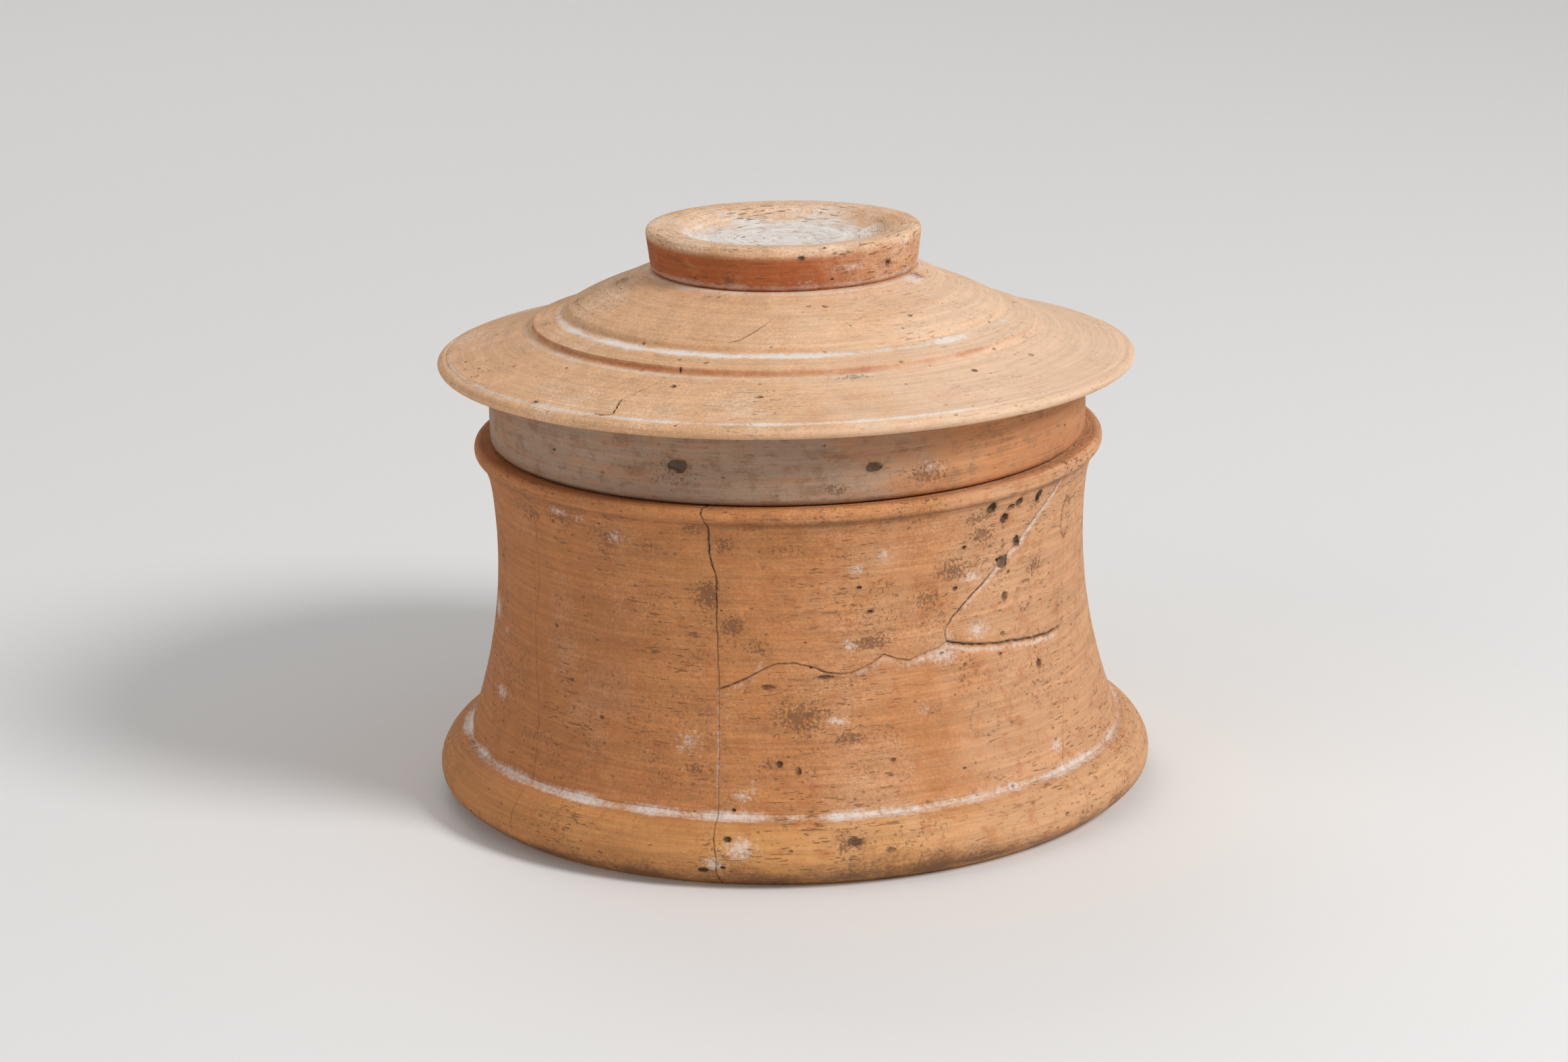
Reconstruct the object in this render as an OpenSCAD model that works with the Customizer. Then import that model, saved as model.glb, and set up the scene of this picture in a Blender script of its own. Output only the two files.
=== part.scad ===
// Lidded pyxis: a turned clay box whose lid drops over an upright collar.
// The wall was broken in antiquity and mended, so it is built as the sherds
// that meet along its break lines. Front of the box is -Y, all sizes in mm.

/* [Wall] */
// Radius of the wall at its narrowest
waist_r = 54.3; // [53.5:0.1:55]
// Height of the narrowest place
waist_z = 46.4; // [44:0.2:48]
// Radius of the long hollow curve that the wall follows
sweep_r = 98; // [92:1:110]
// Thickness of the turned wall
wall_t = 6; // [5:0.5:7]

/* [Foot] */
// Radius of the foot at its widest
foot_r = 66.5; // [65:0.1:68]
// Height at which the foot is widest
foot_z = 5.2; // [4.5:0.1:6]
// Radius of the groove where the wall meets the foot
groove_r = 60.9; // [60.2:0.1:61.4]
// Height of that groove
groove_z = 11.6; // [11:0.1:12.4]
// Outer radius of the ring that the box rests on
rest_r = 61.8; // [60:0.2:62.4]
// Width of the ring that the box rests on
rest_w = 5; // [3:0.5:7]
// Height of the hollow under the floor
under_h = 5.4; // [3:0.2:6]
// Thickness of the floor
floor_t = 6; // [5:0.5:7]

/* [Lip and collar] */
// Radius of the lip
lip_r = 57.9; // [57.4:0.1:58.6]
// Height of the lip
lip_z = 66.7; // [66:0.1:67.4]
// Height of the lip's rounded band
lip_band = 2.6; // [2:0.1:3]
// How far the ledge behind the lip is dished
ledge_dish = 0.4; // [0.2:0.1:0.8]
// Outer radius of the collar that the lid drops over
collar_r = 48.6; // [48:0.1:49]
// Thickness of the collar
collar_t = 4.2; // [3.6:0.1:5]
// Height of the collar above the ledge
collar_h = 9.6; // [8:0.2:11]

/* [Lid] */
// Radius of the lid's brim
brim_r = 64; // [62:0.1:66]
// Height of the brim's sharpest edge
brim_z = 81.8; // [81.4:0.1:82.4]
// Outer radius of the skirt under the brim
skirt_r = 54.9; // [54.4:0.1:55.4]
// Clearance between the skirt and the collar
skirt_gap = 0.9; // [0.5:0.1:1.2]
// Radius of the lower step on the lid
low_step_r = 46.4; // [45.5:0.1:47]
// Radius of the upper step on the lid
high_step_r = 40.5; // [39.5:0.1:41]
// Thickness of the lid's roof
roof_t = 5.6; // [5:0.2:6.2]

/* [Knob] */
// Radius of the knob at its foot
knob_foot_r = 24.3; // [23:0.1:25]
// Radius of the knob near its top
knob_r = 25.2; // [24.6:0.1:26]
// Height of the whole box, to the top of the knob
total_h = 105.8; // [104.5:0.1:107]
// Radius of the dish in the knob's top
dish_r = 19.6; // [18:0.1:21]
// Depth of that dish
dish_d = 2.9; // [2:0.1:3.4]

/* [Hidden] */
$fn = 180;

// The lid hangs this far above the ledge, so that the two only just clear
seat_gap = 0.2;
ledge_z = lip_z - ledge_dish;
skirt_z = ledge_z + seat_gap;
skirt_in_r = collar_r + skirt_gap;
collar_top = ledge_z + collar_h;
collar_in_r = collar_r - collar_t;
floor_top = under_h + floor_t;
// Height at which the knob sits on the dome
seat_z = total_h - 8.1;
// Underside of the brim, where it leaves the skirt
brim_under = brim_z - 1.5;
// Foot of the lower step, and the rise of each step
low_step_z = brim_z + 5.9;
step_rise = 1.2;
high_step_z = low_step_z + 2.6;
// How far the solids that cut the sherds apart reach from the axis
reach = 90;
// Mean radius of the break round the floor
floor_break_r = 44;

// Points on an arc round a centre, between two angles
function arc(cx, cz, r, a0, a1, n) =
    [for (i = [0:n]) let (a = a0 + (a1 - a0) * i / n) [cx + r * cos(a), cz + r * sin(a)]];

// Points on a smooth bend from p to q that leans towards k
function bend(p, k, q, n) =
    [for (i = [0:n]) let (t = i / n) (1 - t) * (1 - t) * p + 2 * t * (1 - t) * k + t * t * q];

// Radius of the wall's hollow curve at a height
function wall_r(z) = waist_r + sweep_r - sqrt(sweep_r * sweep_r - (z - waist_z) * (z - waist_z));

function foot_outline() = concat(
    [[rest_r - rest_w, 0], [rest_r, 0]],
    bend([rest_r + 0.7, 0.5], [foot_r - 1.6, 2.0], [foot_r - 0.8, foot_z - 2.2], 4),
    bend([foot_r - 0.5, foot_z - 1.8], [foot_r + 0.2, foot_z], [foot_r - 0.3, foot_z + 1.6], 4),
    bend([foot_r - 0.6, foot_z + 2.4], [foot_r - 2.2, groove_z - 0.8], [groove_r + 0.6, groove_z + 0.1], 6),
    [[groove_r, groove_z]]);

function outer_wall() = concat(
    [[wall_r(groove_z + 0.9) - 0.1, groove_z + 0.9]],
    [for (z = [groove_z + 2.4 : 4.5 : waist_z + 9]) [wall_r(z), z]],
    bend([wall_r(57.5), 57.5], [wall_r(60) + 0.1, 61.4], [lip_r - 0.9, lip_z - lip_band - 0.2], 5));

function lip_outline() = concat(
    [[lip_r - 0.45, lip_z - lip_band]],
    bend([lip_r - 0.1, lip_z - lip_band + 0.5], [lip_r + 0.25, lip_z - 0.9], [lip_r - 0.5, lip_z - 0.15], 5),
    bend([lip_r - 1.1, lip_z], [skirt_r, ledge_z], [skirt_r - 1.6, ledge_z], 4));

function collar_outline() = concat(
    [[collar_r, ledge_z]],
    arc(collar_r - 0.9, collar_top - 0.9, 0.9, 0, 90, 4),
    arc(collar_in_r + 0.9, collar_top - 0.9, 0.9, 90, 180, 4));

function inner_wall() = concat(
    bend([collar_in_r, ledge_z + 1.4], [collar_in_r + 0.4, 60.5], [wall_r(56) - wall_t - 0.6, 56], 6),
    [for (z = [50 : -6 : 20]) [wall_r(z) - wall_t, z]],
    bend([wall_r(17) - wall_t - 0.4, 17], [49.8, floor_top], [45.4, floor_top], 5));

module wall_blank() {
    rotate_extrude()
    polygon(concat(foot_outline(), outer_wall(), lip_outline(), collar_outline(), inner_wall(),
        [[40, floor_top], [40, under_h], [rest_r - rest_w - 2.2, under_h]]));
}

// Outline along which the floor broke out of the wall
module floor_outline() {
    polygon([for (a = [0:15:345])
        (floor_break_r + 0.9 * sin(3 * a) + 0.7 * cos(5 * a + 20)) * [cos(a), sin(a)]]);
}

// Break lines, from top to bottom or from left to right, as pairs of an
// angle from the front, positive to the right, and a height. Their corners
// stay off the heights of the turned profile's own rings.
centre_break = [[-15.5, 90], [-15.4, 65.8], [-14.5, 62.8], [-15, 58.2], [-13.8, 53.4], [-14.1, 44.8],
                [-13.8, 34.6], [-13.7, 27], [-13.2, 10.4], [-12.5, 5.7], [-12.4, -5]];
level_break = [[-25, 30.6], [-13.5, 33.6], [-9.5, 35.2], [-6, 37], [-3, 38.2], [0.5, 38.2], [3.5, 37.4],
               [6.5, 36.2], [10, 35.9], [14.2, 37.2], [17, 38.8], [19.2, 37.8], [21.8, 37.1], [24.2, 37.8],
               [28.2, 38.6], [29.8, 39.5], [31.4, 38.8], [35.8, 37.8], [42.5, 36.8], [50.5, 35.8],
               [57, 35.2], [62, 35.3], [64, 36.8], [75, 40.6]];
slant_break = [[64, 90], [60.5, 68.5], [57.8, 61.7], [55.5, 59.7], [51.3, 57.1], [47.3, 54.2],
               [43.6, 52.1], [39.6, 49.2], [36.2, 47.2], [33.2, 45.1], [31, 43.4], [29.7, 41.7],
               [29.8, 39.5], [30, 30.4]];
left_seam = [[-55, 90], [-56, 48.3], [-58, 39.2], [-56.3, 30.2], [-54, 25.1], [-51, 10.2], [-50, -5]];
right_seam = [[67, 90], [66, 51.7], [64, 39.2], [61, 26.8], [53.5, 13.4], [50, -5]];

// A solid that stands out from the axis in the direction given, and
// that is bounded on one side by a break line
module break_side(line, dir, far) {
    rotate([0, 0, dir])
    rotate([90, 0, 0])
    linear_extrude(height = reach)
    polygon(concat([for (p = line) [waist_r * sin(p[0] - dir), p[1]]], far));
}

module right_of(line, dir) {
    break_side(line, dir, [[reach, line[len(line) - 1][1]], [reach, line[0][1]]]);
}

module left_of(line, dir) {
    break_side(line, dir, [[-reach, line[len(line) - 1][1]], [-reach, line[0][1]]]);
}

module above(line, dir) {
    break_side(line, dir, [[reach, line[len(line) - 1][1]], [reach, 95], [-reach, 95], [-reach, line[0][1]]]);
}

// Wedge of the wall between the centre break and the right seam
module front_wedge() {
    intersection() {
        right_of(centre_break, -13);
        left_of(right_seam, 62);
    }
}

// Wedge of the wall between the left seam and the centre break
module left_wedge() {
    intersection() {
        right_of(left_seam, -54);
        left_of(centre_break, -13);
    }
}

// The wall without its floor
module ring_blank() {
    difference() {
        wall_blank();
        translate([0, 0, under_h - 2])
        linear_extrude(height = floor_t + 4)
        floor_outline();
    }
}

module left_front_sherd() {
    color([0.70, 0.42, 0.24])
    intersection() {
        ring_blank();
        left_wedge();
    }
}

// Part of the front above the level break
module upper_front() {
    intersection() {
        ring_blank();
        front_wedge();
        above(level_break, 26);
    }
}

module upper_front_sherd() {
    color([0.76, 0.47, 0.28])
    difference() {
        upper_front();
        right_of(slant_break, 45);
    }
}

module right_upper_sherd() {
    color([0.78, 0.50, 0.31])
    intersection() {
        upper_front();
        right_of(slant_break, 45);
    }
}

module lower_front_sherd() {
    color([0.77, 0.49, 0.30])
    difference() {
        intersection() {
            ring_blank();
            front_wedge();
        }
        above(level_break, 26);
    }
}

module back_sherd() {
    color([0.68, 0.41, 0.24])
    difference() {
        ring_blank();
        right_of(left_seam, -54);
        left_of(right_seam, 62);
    }
}

module floor_sherd() {
    color([0.66, 0.40, 0.25])
    translate([0, 0, under_h])
    linear_extrude(height = floor_t)
    floor_outline();
}

// Top of the lid from the knob's seat out to the groove behind the brim's edge
function lid_top() = concat(
    [[0, seat_z], [knob_foot_r - 0.6, seat_z]],
    bend([knob_foot_r + 0.3, seat_z], [high_step_r - 7, high_step_z + step_rise + 3.9],
         [high_step_r - 0.6, high_step_z + step_rise + 0.1], 6),
    [[high_step_r - 0.1, high_step_z + 0.4], [high_step_r + 0.7, high_step_z]],
    bend([low_step_r - 1, low_step_z + step_rise + 0.2], [low_step_r - 0.2, low_step_z + step_rise],
         [low_step_r, low_step_z + 0.4], 3),
    bend([low_step_r + 0.6, low_step_z], [brim_r - 8, brim_z + 2.9], [brim_r - 1.9, brim_z + 1.5], 6));

function brim_edge() = concat(
    [[brim_r - 1.6, brim_z + 1.2]],
    bend([brim_r - 1.2, brim_z + 1.2], [brim_r, brim_z + 0.8], [brim_r, brim_z], 4),
    bend([brim_r - 0.3, brim_z - 0.6], [brim_r - 0.9, brim_z - 1.3], [brim_r - 1.6, brim_z - 1.3], 3));

function skirt_outline() = concat(
    bend([skirt_r + 1.2, brim_under], [skirt_r, brim_under - 0.2], [skirt_r, brim_under - 1.4], 3),
    arc(skirt_r - 1.4, skirt_z + 1.4, 1.4, 0, -90, 5),
    arc(skirt_in_r + 0.8, skirt_z + 0.8, 0.8, -90, -180, 3));

function lid_inside() = concat(
    bend([skirt_in_r, brim_under - 2], [skirt_in_r, low_step_z - roof_t],
         [low_step_r - 3, low_step_z - roof_t + 0.8], 5),
    bend([high_step_r - 3, high_step_z - roof_t + 1.4], [high_step_r - 10, seat_z - roof_t - 0.6],
         [knob_foot_r - 3, seat_z - roof_t - 0.2], 5),
    [[0, seat_z - roof_t - 0.2]]);

module lid_cover() {
    color([0.84, 0.58, 0.37])
    rotate_extrude()
    polygon(concat(lid_top(), brim_edge(), skirt_outline(), lid_inside()));
}

module knob() {
    color([0.80, 0.50, 0.30])
    rotate_extrude()
    polygon(concat(
        [[0, seat_z], [knob_foot_r - 0.6, seat_z]],
        bend([knob_foot_r, seat_z + 0.5], [knob_foot_r + 0.3, seat_z + 1.5], [knob_foot_r + 0.4, seat_z + 3], 3),
        [[knob_r, total_h - 1.2]],
        bend([knob_r - 0.1, total_h - 0.6], [knob_r - 0.4, total_h], [knob_r - 1.6, total_h], 4),
        bend([dish_r + 1.6, total_h - 0.2], [dish_r, total_h - 0.3], [dish_r - 0.8, total_h - 1], 4),
        bend([dish_r - 2.4, total_h - 2], [dish_r - 5, total_h - dish_d], [0, total_h - dish_d], 6)));
}

left_front_sherd();
upper_front_sherd();
lower_front_sherd();
right_upper_sherd();
back_sherd();
floor_sherd();
lid_cover();
knob();
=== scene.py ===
import math
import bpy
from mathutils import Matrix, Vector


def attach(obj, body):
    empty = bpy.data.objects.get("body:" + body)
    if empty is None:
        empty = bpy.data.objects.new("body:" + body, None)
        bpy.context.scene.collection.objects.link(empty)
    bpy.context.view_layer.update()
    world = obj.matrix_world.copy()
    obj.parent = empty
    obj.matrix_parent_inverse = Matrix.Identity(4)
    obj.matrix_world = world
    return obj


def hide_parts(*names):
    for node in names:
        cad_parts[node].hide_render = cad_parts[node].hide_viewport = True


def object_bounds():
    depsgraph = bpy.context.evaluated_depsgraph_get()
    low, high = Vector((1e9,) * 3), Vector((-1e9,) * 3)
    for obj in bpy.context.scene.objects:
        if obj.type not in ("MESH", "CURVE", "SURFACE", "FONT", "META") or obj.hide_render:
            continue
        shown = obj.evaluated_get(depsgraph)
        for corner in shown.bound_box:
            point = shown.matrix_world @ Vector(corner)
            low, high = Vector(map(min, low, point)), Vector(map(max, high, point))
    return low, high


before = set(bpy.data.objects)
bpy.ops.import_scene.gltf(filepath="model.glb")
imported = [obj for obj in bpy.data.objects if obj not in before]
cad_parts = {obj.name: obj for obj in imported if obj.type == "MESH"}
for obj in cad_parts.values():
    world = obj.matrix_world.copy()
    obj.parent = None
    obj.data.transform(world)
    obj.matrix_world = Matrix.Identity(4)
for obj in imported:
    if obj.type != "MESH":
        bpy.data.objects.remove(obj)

from types import SimpleNamespace

import bmesh
import bpy
import numpy as np
from bpy.props import FloatProperty, FloatVectorProperty, PointerProperty
from mathutils import Matrix, Vector, noise
from mathutils.bvhtree import BVHTree
from mathutils.geometry import tessellate_polygon

bl_info = {
    "name": "Lidded clay pyxis",
    "version": (1, 0, 0),
    "blender": (4, 5, 0),
    "location": "3D View > Sidebar > Pyxis",
    "description": "Dresses a turned clay pyxis: its mended wall, its floor, its lid and its knob",
    "category": "Object",
}

# Outlines are worked out in millimetres and become metres when a mesh is made
MM = 0.001
CAD_LOW, CAD_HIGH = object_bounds()
BOX, LID = "box", "lid"


def length(name, description, mm):
    """A size that a user would change, given here in millimetres."""
    return FloatProperty(name=name, description=description, default=mm * MM, unit="LENGTH", precision=5)


def colour(name, description, rgb):
    """A colour that a user would change."""
    return FloatVectorProperty(name=name, description=description, default=rgb, subtype="COLOR",
                               size=3, min=0.0, max=1.0)


class PyxisWallSizes(bpy.types.PropertyGroup):
    """Sizes of the box: its wall, foot, lip and collar."""

    waist_r: length("Waist radius", "Radius of the wall at its narrowest", 54.3)
    waist_z: length("Waist height", "Height of the narrowest place", 46.4)
    sweep_r: length("Sweep radius", "Radius of the long hollow curve of the wall", 98)
    wall_t: length("Wall thickness", "Thickness of the turned wall", 6)
    foot_r: length("Foot radius", "Radius of the foot at its widest", 66.5)
    foot_z: length("Foot height", "Height at which the foot is widest", 5.2)
    groove_r: length("Groove radius", "Radius of the groove between wall and foot", 60.9)
    groove_z: length("Groove height", "Height of the groove between wall and foot", 11.6)
    rest_r: length("Rest radius", "Outer radius of the ring that the box rests on", 61.8)
    rest_w: length("Rest width", "Width of the ring that the box rests on", 5)
    under_h: length("Hollow below", "Height of the hollow under the floor", 5.4)
    floor_t: length("Floor thickness", "Thickness of the floor", 6)
    lip_r: length("Lip radius", "Radius of the lip", 57.9)
    lip_z: length("Lip height", "Height of the lip", 66.7)
    lip_band: length("Lip band", "Height of the rounded band of the lip", 2.6)
    ledge_dish: length("Ledge dish", "How far the ledge behind the lip is dished", 0.4)
    collar_r: length("Collar radius", "Outer radius of the collar that the lid drops over", 48.6)
    collar_t: length("Collar thickness", "Thickness of the collar", 4.2)
    collar_h: length("Collar height", "Height of the collar above the ledge", 9.6)


class PyxisLidSizes(bpy.types.PropertyGroup):
    """Sizes of the lid and of its knob."""

    brim_r: length("Brim radius", "Radius of the brim", 64)
    brim_z: length("Brim height", "Height of the sharpest edge of the brim", 81.8)
    skirt_r: length("Skirt radius", "Outer radius of the skirt under the brim", 54.9)
    skirt_in_r: length("Skirt bore", "Inner radius of the skirt", 49.5)
    skirt_z: length("Skirt end", "Height of the lower end of the skirt", 66.5)
    low_step_r: length("Lower step radius", "Outer radius of the lower step", 46.4)
    high_step_r: length("Upper step radius", "Outer radius of the upper step", 40.5)
    step_rise: length("Step rise", "Rise of each step", 1.2)
    roof_t: length("Roof thickness", "Thickness of the roof of the lid", 5.6)
    seat_z: length("Knob seat", "Height at which the knob sits on the dome", 97.7)
    knob_foot_r: length("Knob foot radius", "Radius of the knob at its foot", 24.3)
    knob_r: length("Knob radius", "Radius of the knob near its top", 25.2)
    total_h: length("Total height", "Height of the top of the knob", 105.8)
    dish_r: length("Dish radius", "Radius of the dish in the top of the knob", 19.6)
    dish_d: length("Dish depth", "Depth of the dish in the top of the knob", 2.9)


class PyxisFinish(bpy.types.PropertyGroup):
    """Colours of the fired clay and of what lies on it."""

    wall_clay: colour("Wall clay", "Main colour of the wall", (0.535, 0.225, 0.080))
    wall_pale: colour("Pale wall", "Paler clay where the slip has worn off", (0.640, 0.362, 0.202))
    wall_red: colour("Red wall", "Redder clay where the slip is thick", (0.430, 0.145, 0.046))
    foot_clay: colour("Foot clay", "Yellower clay of the foot", (0.615, 0.300, 0.100))
    lid_clay: colour("Lid clay", "Main colour of the lid", (0.715, 0.415, 0.226))
    lid_pale: colour("Pale lid", "Paler clay on the lid", (0.790, 0.560, 0.395))
    lid_red: colour("Red lid", "Redder clay on the lid", (0.590, 0.280, 0.110))
    # Besides the red slip on the knob, this colour paints the shade under the risers of the lid's steps
    knob_slip_and_step_shade: colour("Knob slip", "Red slip left on the side of the knob", (0.380, 0.096, 0.022))
    skirt_grey: colour("Skirt", "Grey brown bloom on the skirt", (0.345, 0.245, 0.175))
    deposit: colour("Deposit", "White lime left in grooves and corners", (0.800, 0.755, 0.710))
    # Besides smudges, dashes and specks, this brown is also painted shade under the curve of the foot and a
    # painted cast shadow under the lip
    dirt_and_shade: colour("Dirt", "Brown of smudges, dashes and specks", (0.170, 0.075, 0.034))
    soot: colour("Soot", "Dark brown of spots, pits and cracks", (0.055, 0.034, 0.024))


def in_mm(group):
    """The sizes of a property group as plain numbers in millimetres."""
    return SimpleNamespace(**{key: round(getattr(group, key) / MM, 4) for key in group.__annotations__})


# Outlines

# Steps on each bend and arc. The bare numbers beside the named sizes shape the bends, in mm.
BEND_STEPS, ARC_STEPS = 24, 12


def bend(p, k, q):
    """Points on a smooth bend from p to q that leans towards k."""
    t = np.linspace(0.0, 1.0, BEND_STEPS + 1)[:, None]
    p, k, q = (np.array(corner, float) for corner in (p, k, q))
    return (1 - t) ** 2 * p + 2 * t * (1 - t) * k + t * t * q


def arc(cx, cz, r, a0, a1):
    """Points on an arc round a centre, between two angles in degrees."""
    a = np.radians(np.linspace(a0, a1, ARC_STEPS + 1))
    return np.column_stack([cx + r * np.cos(a), cz + r * np.sin(a)])


# How far from a break the extra rows and columns of a mesh lie, and how far past them the
# evenly spaced ones begin, in mm
CLOSE = np.array([0.09, 0.2, 0.34, 0.52, 0.8, 1.2])
CLEAR = 0.3


def spaced(run, step, fine_start=False, fine_end=False):
    """Places along a run, one step apart, and closer together at an end that asks for it."""
    places = list(np.linspace(0.0, run, max(1, math.ceil(run / step)) + 1))
    low = CLOSE[-1] + CLEAR if fine_start else 0.0
    high = run - CLOSE[-1] - CLEAR if fine_end else run
    kept = [p for p in places if p in (places[0], places[-1]) or low <= p <= high]
    kept += list(CLOSE) if fine_start else []
    kept += list(run - CLOSE) if fine_end else []
    return np.array(sorted(kept))


def paced(points, step, soften=0, fine_start=False, fine_end=False):
    """The same outline with its points about one step apart, its corners softened as often as asked."""
    points = np.asarray(points, float)
    runs = np.concatenate([[0.0], np.cumsum(np.linalg.norm(np.diff(points, axis=0), axis=1))])
    at = spaced(runs[-1], step, fine_start, fine_end)
    made = np.column_stack([np.interp(at, runs, points[:, k]) for k in (0, 1)])
    for _ in range(soften):
        made[1:-1] = (made[:-2] + 2 * made[1:-1] + made[2:]) / 4
    return made


def joined(*runs):
    """Outline runs put end to end, without the points that they share."""
    points = [runs[0]]
    for run in runs[1:]:
        skip = 1 if np.allclose(points[-1][-1], run[0], atol=1e-6) else 0
        points.append(run[skip:])
    return np.vstack(points)


def wall_r(s, z):
    """Radius of the hollow curve of the wall at a height."""
    return s.waist_r + s.sweep_r - np.sqrt(s.sweep_r ** 2 - (z - s.waist_z) ** 2)


def wall_runs(s, break_z=None):
    """The runs of the wall's outline, which break_z cuts into a part above and a part below."""
    rest_in = s.rest_r - s.rest_w
    ledge_z = s.lip_z - s.ledge_dish
    top = ledge_z + s.collar_h
    bore = s.collar_r - s.collar_t
    floor_top = s.under_h + s.floor_t
    # Inner radius of the ledge, and the radius at which the inside of the wall meets the floor
    ledge_r, heel_r = 53.3, 45.4
    # Heights at which the wall turns out to the lip, and its inside turns in to the collar and to the floor
    turn_z, bend_z, heel_z = 57.5, 50.0, 20
    below = [
        paced([[FLOOR_BREAK_R, s.under_h], [rest_in - 2.2, s.under_h]], 1.6),
        paced([[rest_in - 2.2, s.under_h], [rest_in - 0.3, 0.3], [rest_in + 0.4, 0]], 0.8, 2),
        paced([[rest_in + 0.4, 0], [s.rest_r, 0]], 0.9),
        paced(np.vstack([
            [[s.rest_r, 0]],
            bend([s.rest_r + 0.7, 0.5], [s.foot_r - 1.6, 2.0], [s.foot_r - 0.8, s.foot_z - 2.2]),
            bend([s.foot_r - 0.5, s.foot_z - 1.8], [s.foot_r + 0.2, s.foot_z],
                 [s.foot_r - 0.3, s.foot_z + 1.6]),
            bend([s.foot_r - 0.6, s.foot_z + 2.4], [s.foot_r - 2.2, s.groove_z - 0.8],
                 [s.groove_r + 0.6, s.groove_z + 0.1]),
            [[s.groove_r, s.groove_z]]]), 0.42, 3),
    ]
    low_end = [wall_r(s, s.groove_z + 0.9) - 0.1, s.groove_z + 0.9]
    wall_top = [s.lip_r - 0.9, s.lip_z - s.lip_band - 0.2]

    def outer(z0, z1):
        z = np.linspace(z0, z1, 90)
        return np.column_stack([wall_r(s, z), z])

    def inner(z0, z1):
        z = np.linspace(z0, z1, 60)
        return np.column_stack([wall_r(s, z) - s.wall_t, z])

    heel = bend([wall_r(s, 17) - s.wall_t - 0.4, 17], [49.8, floor_top], [heel_r, floor_top])
    shoulder = bend([wall_r(s, turn_z), turn_z], [wall_r(s, 60) + 0.1, 61.4], wall_top)
    groove = paced([[s.groove_r, s.groove_z], [s.groove_r - 0.25, s.groove_z + 0.45], low_end], 0.3, 1)
    above = [
        paced(np.vstack([[wall_top], [[s.lip_r - 0.45, s.lip_z - s.lip_band]],
                         bend([s.lip_r - 0.1, s.lip_z - s.lip_band + 0.5], [s.lip_r + 0.25, s.lip_z - 0.9],
                              [s.lip_r - 0.5, s.lip_z - 0.15]),
                         bend([s.lip_r - 1.1, s.lip_z], [54.9, ledge_z], [ledge_r, ledge_z])]), 0.26, 1),
        paced([[ledge_r, ledge_z], [s.collar_r + 0.5, ledge_z], [s.collar_r, ledge_z + 0.5]], 0.6, 1),
        paced(np.vstack([[[s.collar_r, ledge_z + 0.5]],
                         arc(s.collar_r - 0.9, top - 0.9, 0.9, 0, 90),
                         arc(bore + 0.9, top - 0.9, 0.9, 90, 180),
                         [[bore, ledge_z + 1.4]]]), 0.6, 1),
        paced(np.vstack([bend([bore, ledge_z + 1.4], [bore + 0.4, 60.5],
                              [wall_r(s, 56) - s.wall_t - 0.6, 56]),
                         [[wall_r(s, bend_z) - s.wall_t, bend_z]]]), 1.0, 2),
    ]
    closing = [
        paced([[heel_r, floor_top], [FLOOR_BREAK_R, floor_top]], 0.7),
        paced([[FLOOR_BREAK_R, floor_top], [FLOOR_BREAK_R, s.under_h]], 1.2),
    ]
    if break_z is None:
        wall = paced(np.vstack([outer(low_end[1], turn_z), shoulder]), 0.6)
        inside = paced(np.vstack([inner(bend_z, heel_z), heel]), 1.1, 1)
        return joined(*below, groove, wall, *above, inside, *closing)[:-1]
    upper = joined(
        paced(np.vstack([outer(break_z, turn_z), shoulder]), 0.5, 0, True),
        *above, paced(inner(bend_z, break_z), 0.9, 0, False, True))
    lower = joined(
        paced(np.vstack([inner(break_z, heel_z), heel]), 1.0, 1, True), *closing, *below, groove,
        paced(outer(low_end[1], break_z), 0.5, 0, False, True))
    return upper, lower


# Break lines, the same points as in the solids: angle from the front in degrees,
# positive to the right, and height in mm
CENTRE_BREAK = [(-15.5, 90), (-15.4, 65.8), (-14.5, 62.8), (-15, 58.2), (-13.8, 53.4), (-14.1, 44.8),
                (-13.8, 34.6), (-13.7, 27), (-13.2, 10.4), (-12.5, 5.7), (-12.4, -5)]
LEVEL_BREAK = [(-25, 30.6), (-13.5, 33.6), (-9.5, 35.2), (-6, 37), (-3, 38.2), (0.5, 38.2), (3.5, 37.4),
               (6.5, 36.2), (10, 35.9), (14.2, 37.2), (17, 38.8), (19.2, 37.8), (21.8, 37.1), (24.2, 37.8),
               (28.2, 38.6), (29.8, 39.5), (31.4, 38.8), (35.8, 37.8), (42.5, 36.8), (50.5, 35.8),
               (57, 35.2), (62, 35.3), (64, 36.8), (75, 40.6)]
SLANT_BREAK = [(64, 90), (60.5, 68.5), (57.8, 61.7), (55.5, 59.7), (51.3, 57.1), (47.3, 54.2),
               (43.6, 52.1), (39.6, 49.2), (36.2, 47.2), (33.2, 45.1), (31, 43.4), (29.7, 41.7),
               (29.8, 39.5), (30, 30.4)]
LEFT_SEAM = [(-55, 90), (-56, 48.3), (-58, 39.2), (-56.3, 30.2), (-54, 25.1), (-51, 10.2), (-50, -5)]
RIGHT_SEAM = [(67, 90), (66, 51.7), (64, 39.2), (61, 26.8), (53.5, 13.4), (50, -5)]
FLOOR_BREAK_R = 44.0
# Height about which the rows of the sherds above and below the level break are spaced
LEVEL_Z = 37.0


def ripple(x, seed, scale):
    """Smooth seeded noise along a line, from about -1 to 1."""
    x = np.asarray(x, float)
    total = np.zeros_like(x)
    rng = np.random.default_rng(seed)
    count = 4096
    for octave in range(3):
        values = rng.uniform(-1, 1, count)
        place = x / scale * 2 ** octave + count // 2
        whole = np.floor(place).astype(int) % (count - 1)
        share = place - np.floor(place)
        share = share * share * (3 - 2 * share)
        total += (values[whole] * (1 - share) + values[whole + 1] * share) / 1.7 ** octave
    return total / 1.6


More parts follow.
